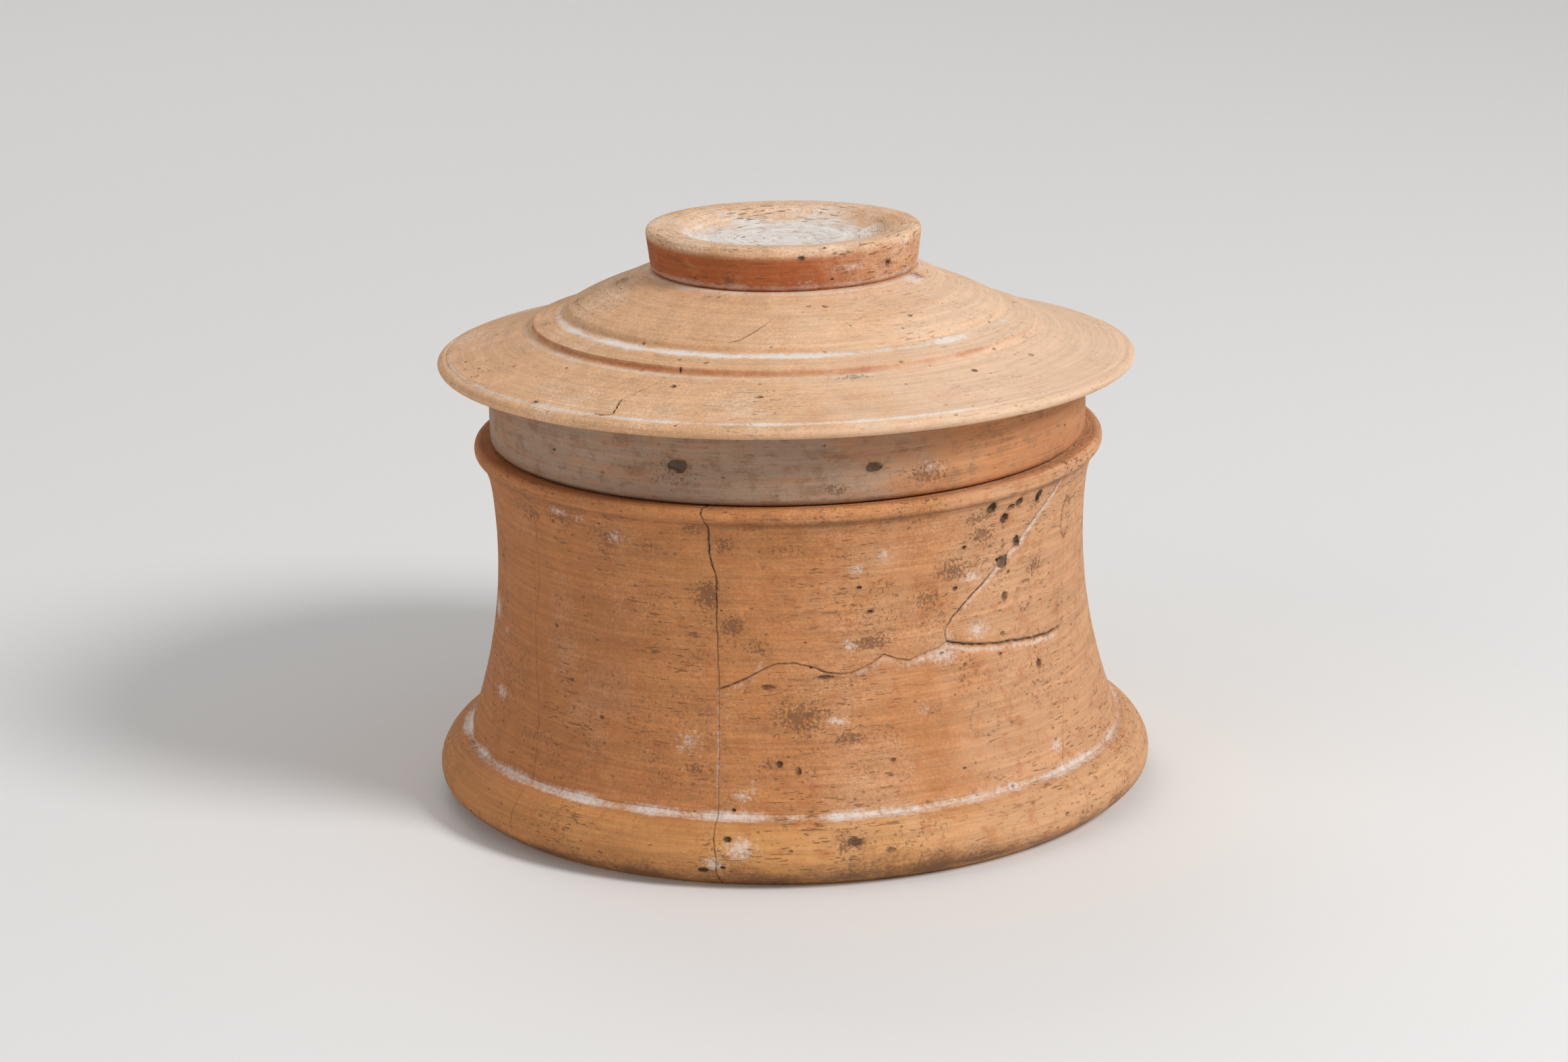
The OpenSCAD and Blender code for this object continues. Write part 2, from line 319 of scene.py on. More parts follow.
def upright(line, seed, ragged=0.16):
    """A break that runs up the wall: its angle in degrees as a function of height."""
    a, z = np.array(line[::-1], float).T
    return lambda h: np.interp(h, z, a) + ragged * ripple(h, seed, 1.3)


def across(line, seed):
    """A break that runs along the wall: its height as a function of angle in degrees."""
    a, z = np.array(line, float).T
    return lambda d: np.interp(d, a, z) + 0.13 * ripple(d, seed, 1.4)


centre_at = upright(CENTRE_BREAK, 11)
slant_at = upright(SLANT_BREAK, 12, 0.25)
left_at = upright(LEFT_SEAM, 13)
right_at = upright(RIGHT_SEAM, 14)
level_at = across(LEVEL_BREAK, 15)


def floor_break(degrees):
    """How far the break round the floor strays from its mean radius, in mm."""
    a = np.radians(degrees - 90)
    return 0.9 * np.sin(3 * a) + 0.7 * np.cos(5 * a + math.radians(20))


# Meshes

def new_object(name, verts, faces, scale=MM):
    """A mesh object in the scene, from points in mm unless scale says otherwise."""
    mesh = bpy.data.meshes.new(name)
    mesh.from_pydata([tuple(v) for v in np.asarray(verts) * scale], [], faces)
    made = bpy.data.objects.new(name, mesh)
    bpy.context.scene.collection.objects.link(made)
    return made


def discard(obj):
    """Removes an object that only helped to make another."""
    mesh = obj.data
    bpy.data.objects.remove(obj)
    bpy.data.meshes.remove(mesh)


def points_of(mesh):
    """The points of a mesh as an array, in metres."""
    points = np.zeros(len(mesh.vertices) * 3, np.float32)
    mesh.vertices.foreach_get("co", points)
    return points.reshape(-1, 3)


def store(mesh, values):
    """Stores fields as attributes of the points of a mesh, for its material."""
    for name, field in values.items():
        attribute = mesh.attributes.get(name) or mesh.attributes.new(name, "FLOAT", "POINT")
        attribute.data.foreach_set("value", np.asarray(field, np.float32))


def input_of(tree, name):
    """The identifier of a modifier input, by the name of its socket."""
    return next(i.identifier for i in tree.interface.items_tree
                if i.item_type == "SOCKET" and i.in_out == "INPUT" and i.name == name)


class Nodes:
    """A small helper that adds and links nodes in one tree."""

    def __init__(self, tree):
        self.tree = tree

    def add(self, kind, inputs=None, **settings):
        """A new node, its settings made before its inputs are linked or filled."""
        node = self.tree.nodes.new(kind)
        for key, value in settings.items():
            setattr(node, key, value)
        for key, value in (inputs or {}).items():
            socket = node.inputs[key]
            if isinstance(value, bpy.types.NodeSocket):
                self.tree.links.new(value, socket)
            elif socket.type == "RGBA":
                socket.default_value = (*value[:3], 1)
            else:
                socket.default_value = value
        return node

    def math(self, operation, *values):
        """The result of one step of arithmetic."""
        return self.add("ShaderNodeMath", dict(enumerate(values)), operation=operation).outputs[0]

    def apart(self, vector):
        """The three numbers of a vector."""
        return self.add("ShaderNodeSeparateXYZ", {0: vector}).outputs

    def ranged(self, value, low, high, to_low, to_high):
        """A number carried from one range to another and kept inside it."""
        return self.add("ShaderNodeMapRange", {"Value": value, "From Min": low, "From Max": high,
                                               "To Min": to_low, "To Max": to_high}).outputs["Result"]

    def socket(self, name, kind, out=False, default=None):
        """A new socket of the tree itself."""
        made = self.tree.interface.new_socket(name, in_out="OUTPUT" if out else "INPUT", socket_type=kind)
        if default is not None:
            made.default_value = default
        return made


def turned_tree():
    """Turns a profile of radius and height round the axis, with the marks that the wheel leaves.

    The profile is a line of points with an angle for its left and right side,
    and the columns object says at which shares of that span a column lies."""
    tree = bpy.data.node_groups.new("Turned form", "GeometryNodeTree")
    n = Nodes(tree)
    n.socket("Geometry", "NodeSocketGeometry")
    n.socket("Columns", "NodeSocketObject")
    n.socket("Ridge height", "NodeSocketFloat", default=0.05 * MM)
    n.socket("Ridge spacing", "NodeSocketFloat", default=1.5 * MM)
    n.socket("Seed", "NodeSocketFloat", default=0.0)
    n.socket("Material", "NodeSocketMaterial")
    n.socket("Geometry", "NodeSocketGeometry", out=True)
    given = n.add("NodeGroupInput").outputs
    columns = n.add("GeometryNodeObjectInfo", {"Object": given["Columns"]}).outputs["Geometry"]
    rows_n = n.add("GeometryNodeAttributeDomainSize", {0: given["Geometry"]}).outputs["Point Count"]
    columns_n = n.add("GeometryNodeAttributeDomainSize", {0: columns}).outputs["Point Count"]
    grid = n.add("GeometryNodeMeshGrid", {"Vertices X": columns_n, "Vertices Y": rows_n}).outputs["Mesh"]
    index = n.add("GeometryNodeInputIndex").outputs[0]
    row = n.math("MODULO", index, rows_n)
    column = n.math("FLOOR", n.math("DIVIDE", n.math("ADD", index, 0.5), rows_n))
    place = n.add("GeometryNodeInputPosition").outputs[0]

    def sampled(geometry, value, at, kind="FLOAT"):
        node = n.add("GeometryNodeSampleIndex", {"Geometry": geometry, "Index": at}, data_type=kind)
        tree.links.new(value, node.inputs["Value"])
        return node.outputs["Value"]

    def attribute(name, kind="FLOAT"):
        node = n.add("GeometryNodeInputNamedAttribute", data_type=kind)
        node.inputs["Name"].default_value = name
        return node.outputs["Attribute"]

    share = n.apart(sampled(columns, place, column, "FLOAT_VECTOR"))[0]
    profile = n.apart(sampled(given["Geometry"], place, row, "FLOAT_VECTOR"))
    outward = n.apart(sampled(given["Geometry"], attribute("outward", "FLOAT_VECTOR"), row, "FLOAT_VECTOR"))
    left = sampled(given["Geometry"], attribute("left"), row)
    right = sampled(given["Geometry"], attribute("right"), row)
    angle = n.math("ADD", left, n.math("MULTIPLY", n.math("SUBTRACT", right, left), share))
    sine, cosine = n.math("SINE", angle), n.math("COSINE", angle)
    spacing = n.math("DIVIDE", 1.0, given["Ridge spacing"])
    # The noise changes slowly round the pot and fast across the lines
    around, middle = 0.35, 0.62
    spot = n.add("ShaderNodeCombineXYZ", {0: n.math("ADD", n.math("MULTIPLY", sine, around), given["Seed"]),
                                          1: n.math("MULTIPLY", cosine, around),
                                          2: n.math("MULTIPLY", profile[2], spacing)}).outputs[0]
    wave = n.add("ShaderNodeTexNoise", {"Vector": spot, "W": n.math("MULTIPLY", profile[0], spacing),
                                        "Scale": 1.0, "Detail": 2.0}, noise_dimensions="4D").outputs["Fac"]
    ridge = n.math("MULTIPLY", n.math("SUBTRACT", wave, middle), given["Ridge height"])
    radius = n.math("MAXIMUM", n.math("ADD", profile[0], n.math("MULTIPLY", ridge, outward[0])), 0.0)
    height = n.math("ADD", profile[2], n.math("MULTIPLY", ridge, outward[2]))
    point = n.add("ShaderNodeCombineXYZ", {0: n.math("MULTIPLY", radius, sine),
                                           1: n.math("MULTIPLY", n.math("MULTIPLY", radius, cosine), -1.0),
                                           2: height}).outputs[0]
    placed = n.add("GeometryNodeSetPosition", {"Geometry": grid, "Position": point}).outputs[0]
    real = n.add("GeometryNodeRealizeInstances", {0: placed}).outputs[0]
    painted = n.add("GeometryNodeSetMaterial", {"Geometry": real, "Material": given["Material"]}).outputs[0]
    n.add("NodeGroupOutput", {0: painted})
    return tree


def evaluated(obj, name):
    """The evaluated result of an object's modifiers as a plain mesh."""
    depsgraph = bpy.context.evaluated_depsgraph_get()
    mesh = bpy.data.meshes.new_from_object(obj.evaluated_get(depsgraph))
    mesh.name = name
    return mesh


def outward_of(points, closed):
    """Unit normals of an outline that runs with its solid on the left hand."""
    if closed:
        ahead, behind = np.roll(points, -1, axis=0), np.roll(points, 1, axis=0)
    else:
        ahead, behind = np.vstack([points[1:], points[-1:]]), np.vstack([points[:1], points[:-1]])
    along = ahead - behind
    along /= np.maximum(np.linalg.norm(along, axis=1, keepdims=True), 1e-9)
    return np.column_stack([along[:, 1], -along[:, 0]])


def standing(flat):
    """Radius and height as points in the plane of x and z."""
    return np.column_stack([flat[:, 0], np.zeros(len(flat)), flat[:, 1]])


# Height and spacing in mm of the lines that the wheel left on each part
WALL_LINES, LID_LINES, FLOOR_LINES = (0.09, 1.7), (0.09, 1.6), (0.12, 2.4)


def turned(name, outline, left, right, columns, material, lines, seed, closed):
    """Runs the turning tree on an outline, and gives its points as columns by rows, in mm."""
    normals = outward_of(outline, closed)
    profile = new_object("profile", standing(outline), [])
    for key, values in (("left", left), ("right", right)):
        profile.data.attributes.new(key, "FLOAT", "POINT").data.foreach_set(
            "value", np.radians(values).astype(np.float32))
    profile.data.attributes.new("outward", "FLOAT_VECTOR", "POINT").data.foreach_set(
        "vector", standing(normals).astype(np.float32).ravel())
    shares = new_object("columns", np.column_stack([columns, columns * 0, columns * 0]), [], 1.0)
    tree = bpy.data.node_groups.get("Turned form") or turned_tree()
    modifier = profile.modifiers.new("turning", "NODES")
    modifier.node_group = tree
    ridge, spacing = (size * MM for size in lines)
    for key, value in (("Columns", shares), ("Ridge height", ridge), ("Ridge spacing", spacing),
                       ("Seed", float(seed)), ("Material", material)):
        modifier[input_of(tree, key)] = value
    mesh = evaluated(profile, name)
    points = points_of(mesh)
    bpy.data.meshes.remove(mesh)
    discard(profile)
    discard(shares)
    return points.astype(float).reshape(len(columns), len(outline), 3) / MM, normals


def close_mesh(name, grid, material, face=None):
    """A closed mesh from columns by rows of points. A sherd has a face, the outline of its broken
    sides, which are capped; any other piece closes on the axis."""
    n_cols, n_rows = grid.shape[:2]
    col = np.arange(n_cols - 1)[:, None]
    row = np.arange(n_rows - 1 if face is None else n_rows)[None, :]
    ahead = (row + 1) % n_rows
    quads = np.stack([col * n_rows + row, (col + 1) * n_rows + row,
                      (col + 1) * n_rows + ahead, col * n_rows + ahead], -1).reshape(-1, 4)
    faces = [tuple(q) for q in quads.tolist()]
    if face is not None:
        flat = [Vector((p[0], p[1], 0.0)) for p in face]
        for column, turn in ((0, 1), (n_cols - 1, -1)):
            for tri in tessellate_polygon([flat]):
                faces.append(tuple(column * n_rows + i for i in tri[::turn]))
    made = new_object(name, grid.reshape(-1, 3), faces)
    bm = bmesh.new()
    bm.from_mesh(made.data)
    bmesh.ops.remove_doubles(bm, verts=bm.verts, dist=0.004 * MM)
    bmesh.ops.dissolve_degenerate(bm, edges=bm.edges, dist=1e-8)
    bmesh.ops.recalc_face_normals(bm, faces=bm.faces)
    bm.to_mesh(made.data)
    bm.free()
    made.data.materials.append(material)
    return made


def out_of_round(points):
    """The slight unevenness of a pot thrown by hand, in mm; it only ever draws in."""
    x, y, z = points.T
    a = np.arctan2(x, -y)
    typical_r = 60.0
    draw = 0.12 + 0.07 * np.sin(2 * a + 0.6) + 0.05 * np.sin(3 * a - 1.1)
    factor = 1 - draw / typical_r
    return np.column_stack([x * factor, y * factor, z])


# Angle in degrees past which an edge looks sharp
SHARP = 38.0


def finish_piece(obj, body, node):
    """Wears a mesh out of round, keeps it in the box of the solids and hands it to its body."""
    mesh = obj.data
    points = points_of(mesh).astype(float) / MM
    nothing = np.zeros(len(points))
    on_wall = body == BOX and node != "floor_sherd"
    store(mesh, mark_fields(points))
    store(mesh, break_fields(points) if on_wall else {"crack": nothing, "fill": nothing})
    if "depth" not in mesh.attributes:
        store(mesh, {"depth": nothing})
    points = out_of_round(points) * MM
    points = np.clip(points, np.array(CAD_LOW), np.array(CAD_HIGH))
    mesh.vertices.foreach_set("co", points.astype(np.float32).ravel())
    mesh.shade_smooth()
    mesh.set_sharp_from_angle(angle=math.radians(SHARP))
    mesh.update()
    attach(obj, body)
    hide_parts(node)


# How wide and deep the worn edge of each break is, in mm
WORN = {"centre": (0.22, 0.20), "slant": (0.32, 0.20), "level": (0.30, 0.24), "curve": (0.50, 0.48),
        "left": (0.20, 0.10), "right": (0.20, 0.12)}
# Angle in degrees at which the wavy level break becomes the curved one
CURVE_FROM = 29.8


def worn_edge(distance, along, kind, seed):
    """How deep the surface lies near a break: a V that widens where the edge has crumbled."""
    width, depth = WORN[kind]
    crumble = np.clip(ripple(along, seed, 2.2), 0, 1) ** 2
    wide = width * (0.8 + 1.6 * crumble)
    deep = depth * (0.8 + 0.9 * crumble)
    return deep * np.clip(1 - distance / wide, 0, 1) ** 1.4


# Heights between which the rows of a sherd bend to follow the level break
FOLLOW_LOW, FOLLOW_TOP = 14.0, 58.0
# A height that every sherd's side lines pass, and the width past which a sherd gets wider columns
MIDWAY, BROAD = 40.0, 120
# Radius and height within which the inside of the wall follows the break round the floor
FLOOR_WAVE_R, FLOOR_WAVE_Z = 50.0, 14


def sherd(name, s, side, left_line, right_line, material, seed):
    """One sherd of the wall. side is full, above or below, which is where it lies on the level break."""
    full = side == "full"
    outline = wall_runs(s) if full else wall_runs(s, LEVEL_Z)[0 if side == "above" else 1]
    left_name, left_fn = left_line
    right_name, right_fn = right_line
    z = outline[:, 1]
    # The back sherd passes the place behind the pot where the angle starts again
    round_back = 360 if right_fn(MIDWAY) < left_fn(MIDWAY) else 0
    left, right = left_fn(z), right_fn(z) + round_back
    wide = np.radians(np.max(right - left)) * s.waist_r
    step = 1.08 if wide > BROAD else 0.55
    columns = spaced(wide, step, True, True) / wide
    grid, normals = turned(name, outline, left, right, columns, material, WALL_LINES, seed, full)
    radius = np.hypot(grid[..., 0], grid[..., 1])
    height = grid[..., 2]
    degrees = left[None, :] + (right - left)[None, :] * columns[:, None]
    if not full:
        if side == "above":
            follow = np.clip((FOLLOW_TOP - z) / (FOLLOW_TOP - LEVEL_Z), 0, 1)
        else:
            follow = np.clip((z - FOLLOW_LOW) / (LEVEL_Z - FOLLOW_LOW), 0, 1)
        # A row's height shifts its angle and the other way round, so both are found in a few rounds
        for _ in range(8):
            moved = height + follow[None, :] * (level_at(degrees) - LEVEL_Z)
            degrees = left_fn(moved) + (right_fn(moved) - left_fn(moved)) * columns[:, None]
        radius = radius + wall_r(s, moved) - wall_r(s, height)
        height = moved
    # The floor broke out along a wavy line, which the inner edge of the ring follows
    floor_share = np.clip((FLOOR_WAVE_R - radius) / (FLOOR_WAVE_R - FLOOR_BREAK_R), 0, 1)
    radius = radius + floor_share * (height < FLOOR_WAVE_Z) * floor_break(degrees)
    # Worn edges along the breaks
    left_gap = np.abs(degrees - left_fn(height)) * math.pi / 180 * radius
    right_gap = np.abs(right_fn(height) + round_back - degrees) * math.pi / 180 * radius
    sunk = np.maximum(worn_edge(left_gap, height, left_name, 31),
                      worn_edge(right_gap, height, right_name, 32))
    if not full:
        gap = np.where(follow[None, :] > 0, np.abs(height - level_at(degrees)), 99.0)
        sunk = np.maximum(sunk, np.where(degrees > CURVE_FROM, worn_edge(gap, degrees, "curve", 33),
                                         worn_edge(gap, degrees, "level", 33)))
    inside = (normals[:, 0] < -0.2)[None, :]
    sunk = np.where(inside, 0.5 * sunk, sunk)
    radius = radius - sunk * normals[None, :, 0]
    height = height - sunk * normals[None, :, 1]
    grid = on_pot(radius, degrees, height)
    face = outline
    if not full:
        # The broken face between the inner and the outer edge
        shares = np.linspace(0, 1, 8)[1:-1]
        between = np.stack([grid[:, -1] * (1 - t) + grid[:, 0] * t for t in shares], 1)
        grid = np.concatenate([grid, between], 1)
        face = np.vstack([outline, [outline[-1] * (1 - t) + outline[0] * t for t in shares]])
    return close_mesh(name, grid, material, face)


def on_pot(radius, degrees, height):
    """Points from their radius, their angle off the front and their height."""
    a = np.radians(degrees)
    return np.stack([radius * np.sin(a), -radius * np.cos(a), height], -1)


def step_heights(s):
    """Heights of the places where the lower and the upper step of the lid begin."""
    low = s.brim_z + 5.9
    return low, low + 2.6


def lid_outline(s):
    """Outline of the lid from the middle of the knob's seat, down the outside and back inside."""
    low_step_z, high_step_z = step_heights(s)
    brim_under = s.brim_z - 1.5
    seat = [s.knob_foot_r - 0.6, s.seat_z]
    return joined(
        paced([[0, s.seat_z], [s.knob_foot_r - 3, s.seat_z]], 3.0),
        paced([[s.knob_foot_r - 3, s.seat_z], seat], 0.8),
        paced(np.vstack([[seat], bend([s.knob_foot_r + 0.3, s.seat_z],
                                      [s.high_step_r - 7, high_step_z + s.step_rise + 3.9],
                                      [s.high_step_r - 0.6, high_step_z + s.step_rise + 0.1])]), 0.48, 1),
        paced([[s.high_step_r - 0.6, high_step_z + s.step_rise + 0.1],
               [s.high_step_r - 0.1, high_step_z + 0.4], [s.high_step_r + 0.7, high_step_z]], 0.22, 1),
        paced(bend([s.high_step_r + 0.7, high_step_z], [s.low_step_r - 1, low_step_z + s.step_rise + 0.2],
                   [s.low_step_r - 0.2, low_step_z + s.step_rise]), 0.4),
        paced([[s.low_step_r - 0.2, low_step_z + s.step_rise], [s.low_step_r, low_step_z + 0.4],
               [s.low_step_r + 0.6, low_step_z]], 0.22, 1),
        paced(np.vstack([bend([s.low_step_r + 0.6, low_step_z], [s.brim_r - 8, s.brim_z + 2.9],
                              [s.brim_r - 1.9, s.brim_z + 1.5]), [[s.brim_r - 1.6, s.brim_z + 1.2]]]), 0.48),
        paced(np.vstack([[[s.brim_r - 1.6, s.brim_z + 1.2]],
                         bend([s.brim_r - 1.2, s.brim_z + 1.2], [s.brim_r, s.brim_z + 0.8],
                              [s.brim_r, s.brim_z]),
                         bend([s.brim_r - 0.3, s.brim_z - 0.6], [s.brim_r - 0.9, s.brim_z - 1.3],
                              [s.brim_r - 1.6, s.brim_z - 1.3])]), 0.3),
        paced(np.vstack([[[s.brim_r - 1.6, s.brim_z - 1.3]],
                         bend([s.skirt_r + 1.2, brim_under], [s.skirt_r, brim_under - 0.2],
                              [s.skirt_r, brim_under - 1.4])]), 0.5, 1),
        paced(np.vstack([[[s.skirt_r, brim_under - 1.4]],
                         arc(s.skirt_r - 1.4, s.skirt_z + 1.4, 1.4, 0, -90),
                         arc(s.skirt_in_r + 0.8, s.skirt_z + 0.8, 0.8, -90, -180)]), 0.45),
        paced([[s.skirt_in_r, s.skirt_z + 0.8], [s.skirt_in_r, brim_under - 2]], 1.0),
        paced(bend([s.skirt_in_r, brim_under - 2], [s.skirt_in_r, low_step_z - s.roof_t],
                   [s.low_step_r - 3, low_step_z - s.roof_t + 0.8]), 0.8),
        paced(np.vstack([[[s.low_step_r - 3, low_step_z - s.roof_t + 0.8]],
                         bend([s.high_step_r - 3, high_step_z - s.roof_t + 1.4],
                              [s.high_step_r - 10, s.seat_z - s.roof_t - 0.6],
                              [s.knob_foot_r - 3, s.seat_z - s.roof_t - 0.2])]), 1.0, 2),
        paced([[s.knob_foot_r - 3, s.seat_z - s.roof_t - 0.2], [0, s.seat_z - s.roof_t - 0.2]], 1.6))[::-1]


def knob_outline(s):
    """Outline of the knob from the middle of its foot, up the side and into the dish."""
    return joined(
        paced([[0, s.seat_z], [s.knob_foot_r - 2, s.seat_z]], 3.0),
        paced([[s.knob_foot_r - 2, s.seat_z], [s.knob_foot_r - 0.6, s.seat_z]], 0.6),
        paced(np.vstack([[[s.knob_foot_r - 0.6, s.seat_z]],
                         bend([s.knob_foot_r, s.seat_z + 0.5], [s.knob_foot_r + 0.3, s.seat_z + 1.5],
                              [s.knob_foot_r + 0.4, s.seat_z + 3]),
                         [[s.knob_r, s.total_h - 1.2]],
                         bend([s.knob_r - 0.1, s.total_h - 0.6], [s.knob_r - 0.4, s.total_h],
                              [s.knob_r - 1.6, s.total_h])]), 0.22, 2),
        paced(np.vstack([[[s.knob_r - 1.6, s.total_h]],
                         bend([s.dish_r + 1.6, s.total_h - 0.2], [s.dish_r, s.total_h - 0.3],
                              [s.dish_r - 0.8, s.total_h - 1]),
                         bend([s.dish_r - 2.4, s.total_h - 2], [s.dish_r - 5, s.total_h - s.dish_d],
                              [0, s.total_h - s.dish_d])]), 0.3, 2))


def full_turn(name, outline, segments, material, lines, seed):
    """The points and the column shares of a piece that goes all the way round."""
    half = np.full(len(outline), 180.0)
    columns = np.linspace(0, 1, segments + 1)
    return turned(name, outline, -half, half, columns, material, lines, seed, False)[0], columns


def lid_part(name, outline, segments, material, seed):
    """The lid or its knob, turned in one and closed on the axis."""
    grid, _ = full_turn(name, outline, segments, material, LID_LINES, seed)
    grid[-1] = grid[0]
    grid[:, outline[:, 0] < 1e-6, :2] = 0.0
    return close_mesh(name, grid, material)


# Damage

def pits_tree():
    """Scatters small pits over a mesh and cuts them out, together with the cutters that it is given."""
    tree = bpy.data.node_groups.new("Pits", "GeometryNodeTree")
    n = Nodes(tree)
    n.socket("Geometry", "NodeSocketGeometry")
    n.socket("Cutters", "NodeSocketObject")
    n.socket("Pits per square metre", "NodeSocketFloat", default=12000.0)
    n.socket("Smallest", "NodeSocketFloat", default=0.12 * MM)
    n.socket("Largest", "NodeSocketFloat", default=0.44 * MM)
    n.socket("Seed", "NodeSocketInt", default=1)
    n.socket("Material", "NodeSocketMaterial")
    n.socket("Geometry", "NodeSocketGeometry", out=True)
    given = n.add("NodeGroupInput").outputs
    spread = n.add("GeometryNodeDistributePointsOnFaces", {
        "Mesh": given["Geometry"], "Distance Min": 1.8 * MM, "Density Max": given["Pits per square metre"],
        "Seed": given["Seed"]}, distribute_method="POISSON").outputs
    chance = n.add("FunctionNodeRandomValue", {8: given["Seed"]}, data_type="FLOAT").outputs[1]
    # Most pits are small, and each is wider than it is high or deep
    span = n.math("SUBTRACT", given["Largest"], given["Smallest"])
    size = n.math("ADD", given["Smallest"], n.math("MULTIPLY", span, n.math("POWER", chance, 3.0)))
    scale = n.add("ShaderNodeCombineXYZ", {0: n.math("MULTIPLY", size, 1.5), 1: size,
                                           2: n.math("MULTIPLY", size, 0.8)}).outputs[0]
    ball = n.add("GeometryNodeMeshIcoSphere", {"Radius": 1.0, "Subdivisions": 2}).outputs["Mesh"]
    balls = n.add("GeometryNodeInstanceOnPoints", {"Points": spread["Points"], "Instance": ball,
                                                   "Rotation": spread["Rotation"],
                                                   "Scale": scale}).outputs[0]
    real = n.add("GeometryNodeRealizeInstances", {0: balls}).outputs[0]
    cutters = n.add("GeometryNodeObjectInfo", {"Object": given["Cutters"]}).outputs["Geometry"]
    cut = n.add("GeometryNodeMeshBoolean", {"Mesh 1": given["Geometry"], "Mesh 2": real},
                operation="DIFFERENCE", solver="MANIFOLD")
    tree.links.new(cutters, cut.inputs["Mesh 2"])
    whole = n.add("GeometryNodeRealizeInstances", {0: cut.outputs["Mesh"]}).outputs[0]
    painted = n.add("GeometryNodeSetMaterial", {"Geometry": whole, "Material": given["Material"]}).outputs[0]
    n.add("NodeGroupOutput", {0: painted})
    return tree


def at(degrees, radius, height):
    """A place on the pot, from its angle off the front, its radius and its height in mm."""
    a = math.radians(degrees)
    return Vector((radius * math.sin(a), -radius * math.cos(a), height)) * MM


# A spot belongs to a piece that is this near, in mm, and its pit takes this share of its width
SPOT_NEAR, PIT_SHARE = 1.6, 0.60


def cut_spots(bm, surface):
    """A lumpy ball for each dark spot of this piece, which cuts a shallow pit."""
    for i, (kind, degrees, radius, height, wide, high, strength) in enumerate(MARKS):
        if kind != "spot":
            continue
        middle, normal, _, away = surface.find_nearest(at(degrees, radius, height), 3 * MM)
        if middle is None or away > SPOT_NEAR * MM:
            continue
        across_way = Vector((math.cos(math.radians(degrees)), math.sin(math.radians(degrees)), 0))
        up_way = normal.cross(across_way).normalized()
        deep = (0.25 + 0.35 * min(wide, high)) * strength
        axes = Matrix((across_way * PIT_SHARE * wide * MM, up_way * PIT_SHARE * high * MM,
                       normal * deep * MM)).transposed()
        made = bmesh.ops.create_icosphere(bm, subdivisions=3, radius=1.0)["verts"]
        for vert in made:
            vert.co *= 1 + 0.35 * noise.noise(vert.co * 1.7 + Vector((i, 2.0 * i, 0)))
            vert.co = middle + axes @ vert.co


def cut_crack(bm, surface, line, wide, deep, seed):
    """A thin wedge along a line of angles and radii on top of the lid, which cuts a hairline crack."""
    rng = np.random.default_rng(seed)
    line = np.array(line, float)
    per_stretch, stray, above = 9, 0.16, 0.2
    steps = np.linspace(0, len(line) - 1, per_stretch * (len(line) - 1) + 1)
    angle = np.interp(steps, np.arange(len(line)), line[:, 0]) + rng.uniform(-stray, stray, len(steps))
    radius = np.interp(steps, np.arange(len(line)), line[:, 1])
    # A height just over the lid, from which the nearest point lies on its top
    places = [surface.find_nearest(at(d, r, 84.0 + (64 - r) * 0.4)) for d, r in zip(angle, radius)]
    rings = []
    for i, (middle, normal, _, _) in enumerate(places):
        ahead = places[min(i + 1, len(places) - 1)][0] - places[max(i - 1, 0)][0]
        side = normal.cross(ahead).normalized() * MM
        taper = math.sin(math.pi * (i + 0.7) / (len(places) + 0.4)) ** 0.5
        rings.append([bm.verts.new(middle + side * wide * taper + normal * above * MM),
                      bm.verts.new(middle - side * wide * taper + normal * above * MM),
                      bm.verts.new(middle - normal * deep * taper * MM)])
    for first, second in zip(rings, rings[1:]):
        for k, m in ((0, 1), (1, 2), (2, 0)):
            bm.faces.new((first[k], first[m], second[m], second[k]))
    bm.faces.new(rings[0][::-1])
    bm.faces.new(rings[-1])


def lid_cracks(bm, surface):
    """The two hairline cracks that run from the nick in the brim towards the knob."""
    cut_crack(bm, surface, ((-34, 63.3), (-29.4, 62), (-30.6, 56.8), (-25.4, 48.8)), 0.27, 0.9, 1)
    cut_crack(bm, surface, ((-14.8, 40.2), (-12, 39.4), (-8, 36.8), (-4, 33.6)), 0.23, 0.8, 2)


def dig(obj, material, per_square_metre, seed, more=None):
    """Cuts pits, spots and cracks into a piece, and stores how deep each new point lies."""
    surface = BVHTree.FromObject(obj, bpy.context.evaluated_depsgraph_get())
    bm = bmesh.new()
    cut_spots(bm, surface)
    if more:
        more(bm, surface)
    bmesh.ops.recalc_face_normals(bm, faces=bm.faces)
    cutters = new_object("cutters", np.zeros((0, 3)), [])
    bm.to_mesh(cutters.data)
    bm.free()
    modifier = obj.modifiers.new("pits", "NODES")
    modifier.node_group = bpy.data.node_groups.get("Pits") or pits_tree()
    for key, value in (("Cutters", cutters), ("Pits per square metre", per_square_metre), ("Seed", seed),
                       ("Material", material)):
        modifier[input_of(modifier.node_group, key)] = value
    old = obj.data
    new = evaluated(obj, obj.name)
    if len(new.polygons) < len(old.polygons) // 2:
        raise RuntimeError(obj.name + " isn't closed, so no pits can be cut into it")
    obj.modifiers.remove(modifier)
    obj.data = new
    old_keys, new_keys = (np.ascontiguousarray(points_of(mesh)).view([("", np.float32)] * 3).ravel()
                          for mesh in (old, new))
    depth = np.zeros(len(new_keys))
    for i in np.where(~np.isin(new_keys, old_keys))[0]:
        depth[i] = surface.find_nearest(new.vertices[int(i)].co)[3] / MM
    store(new, {"depth": depth})
    bpy.data.meshes.remove(old)
    discard(cutters)


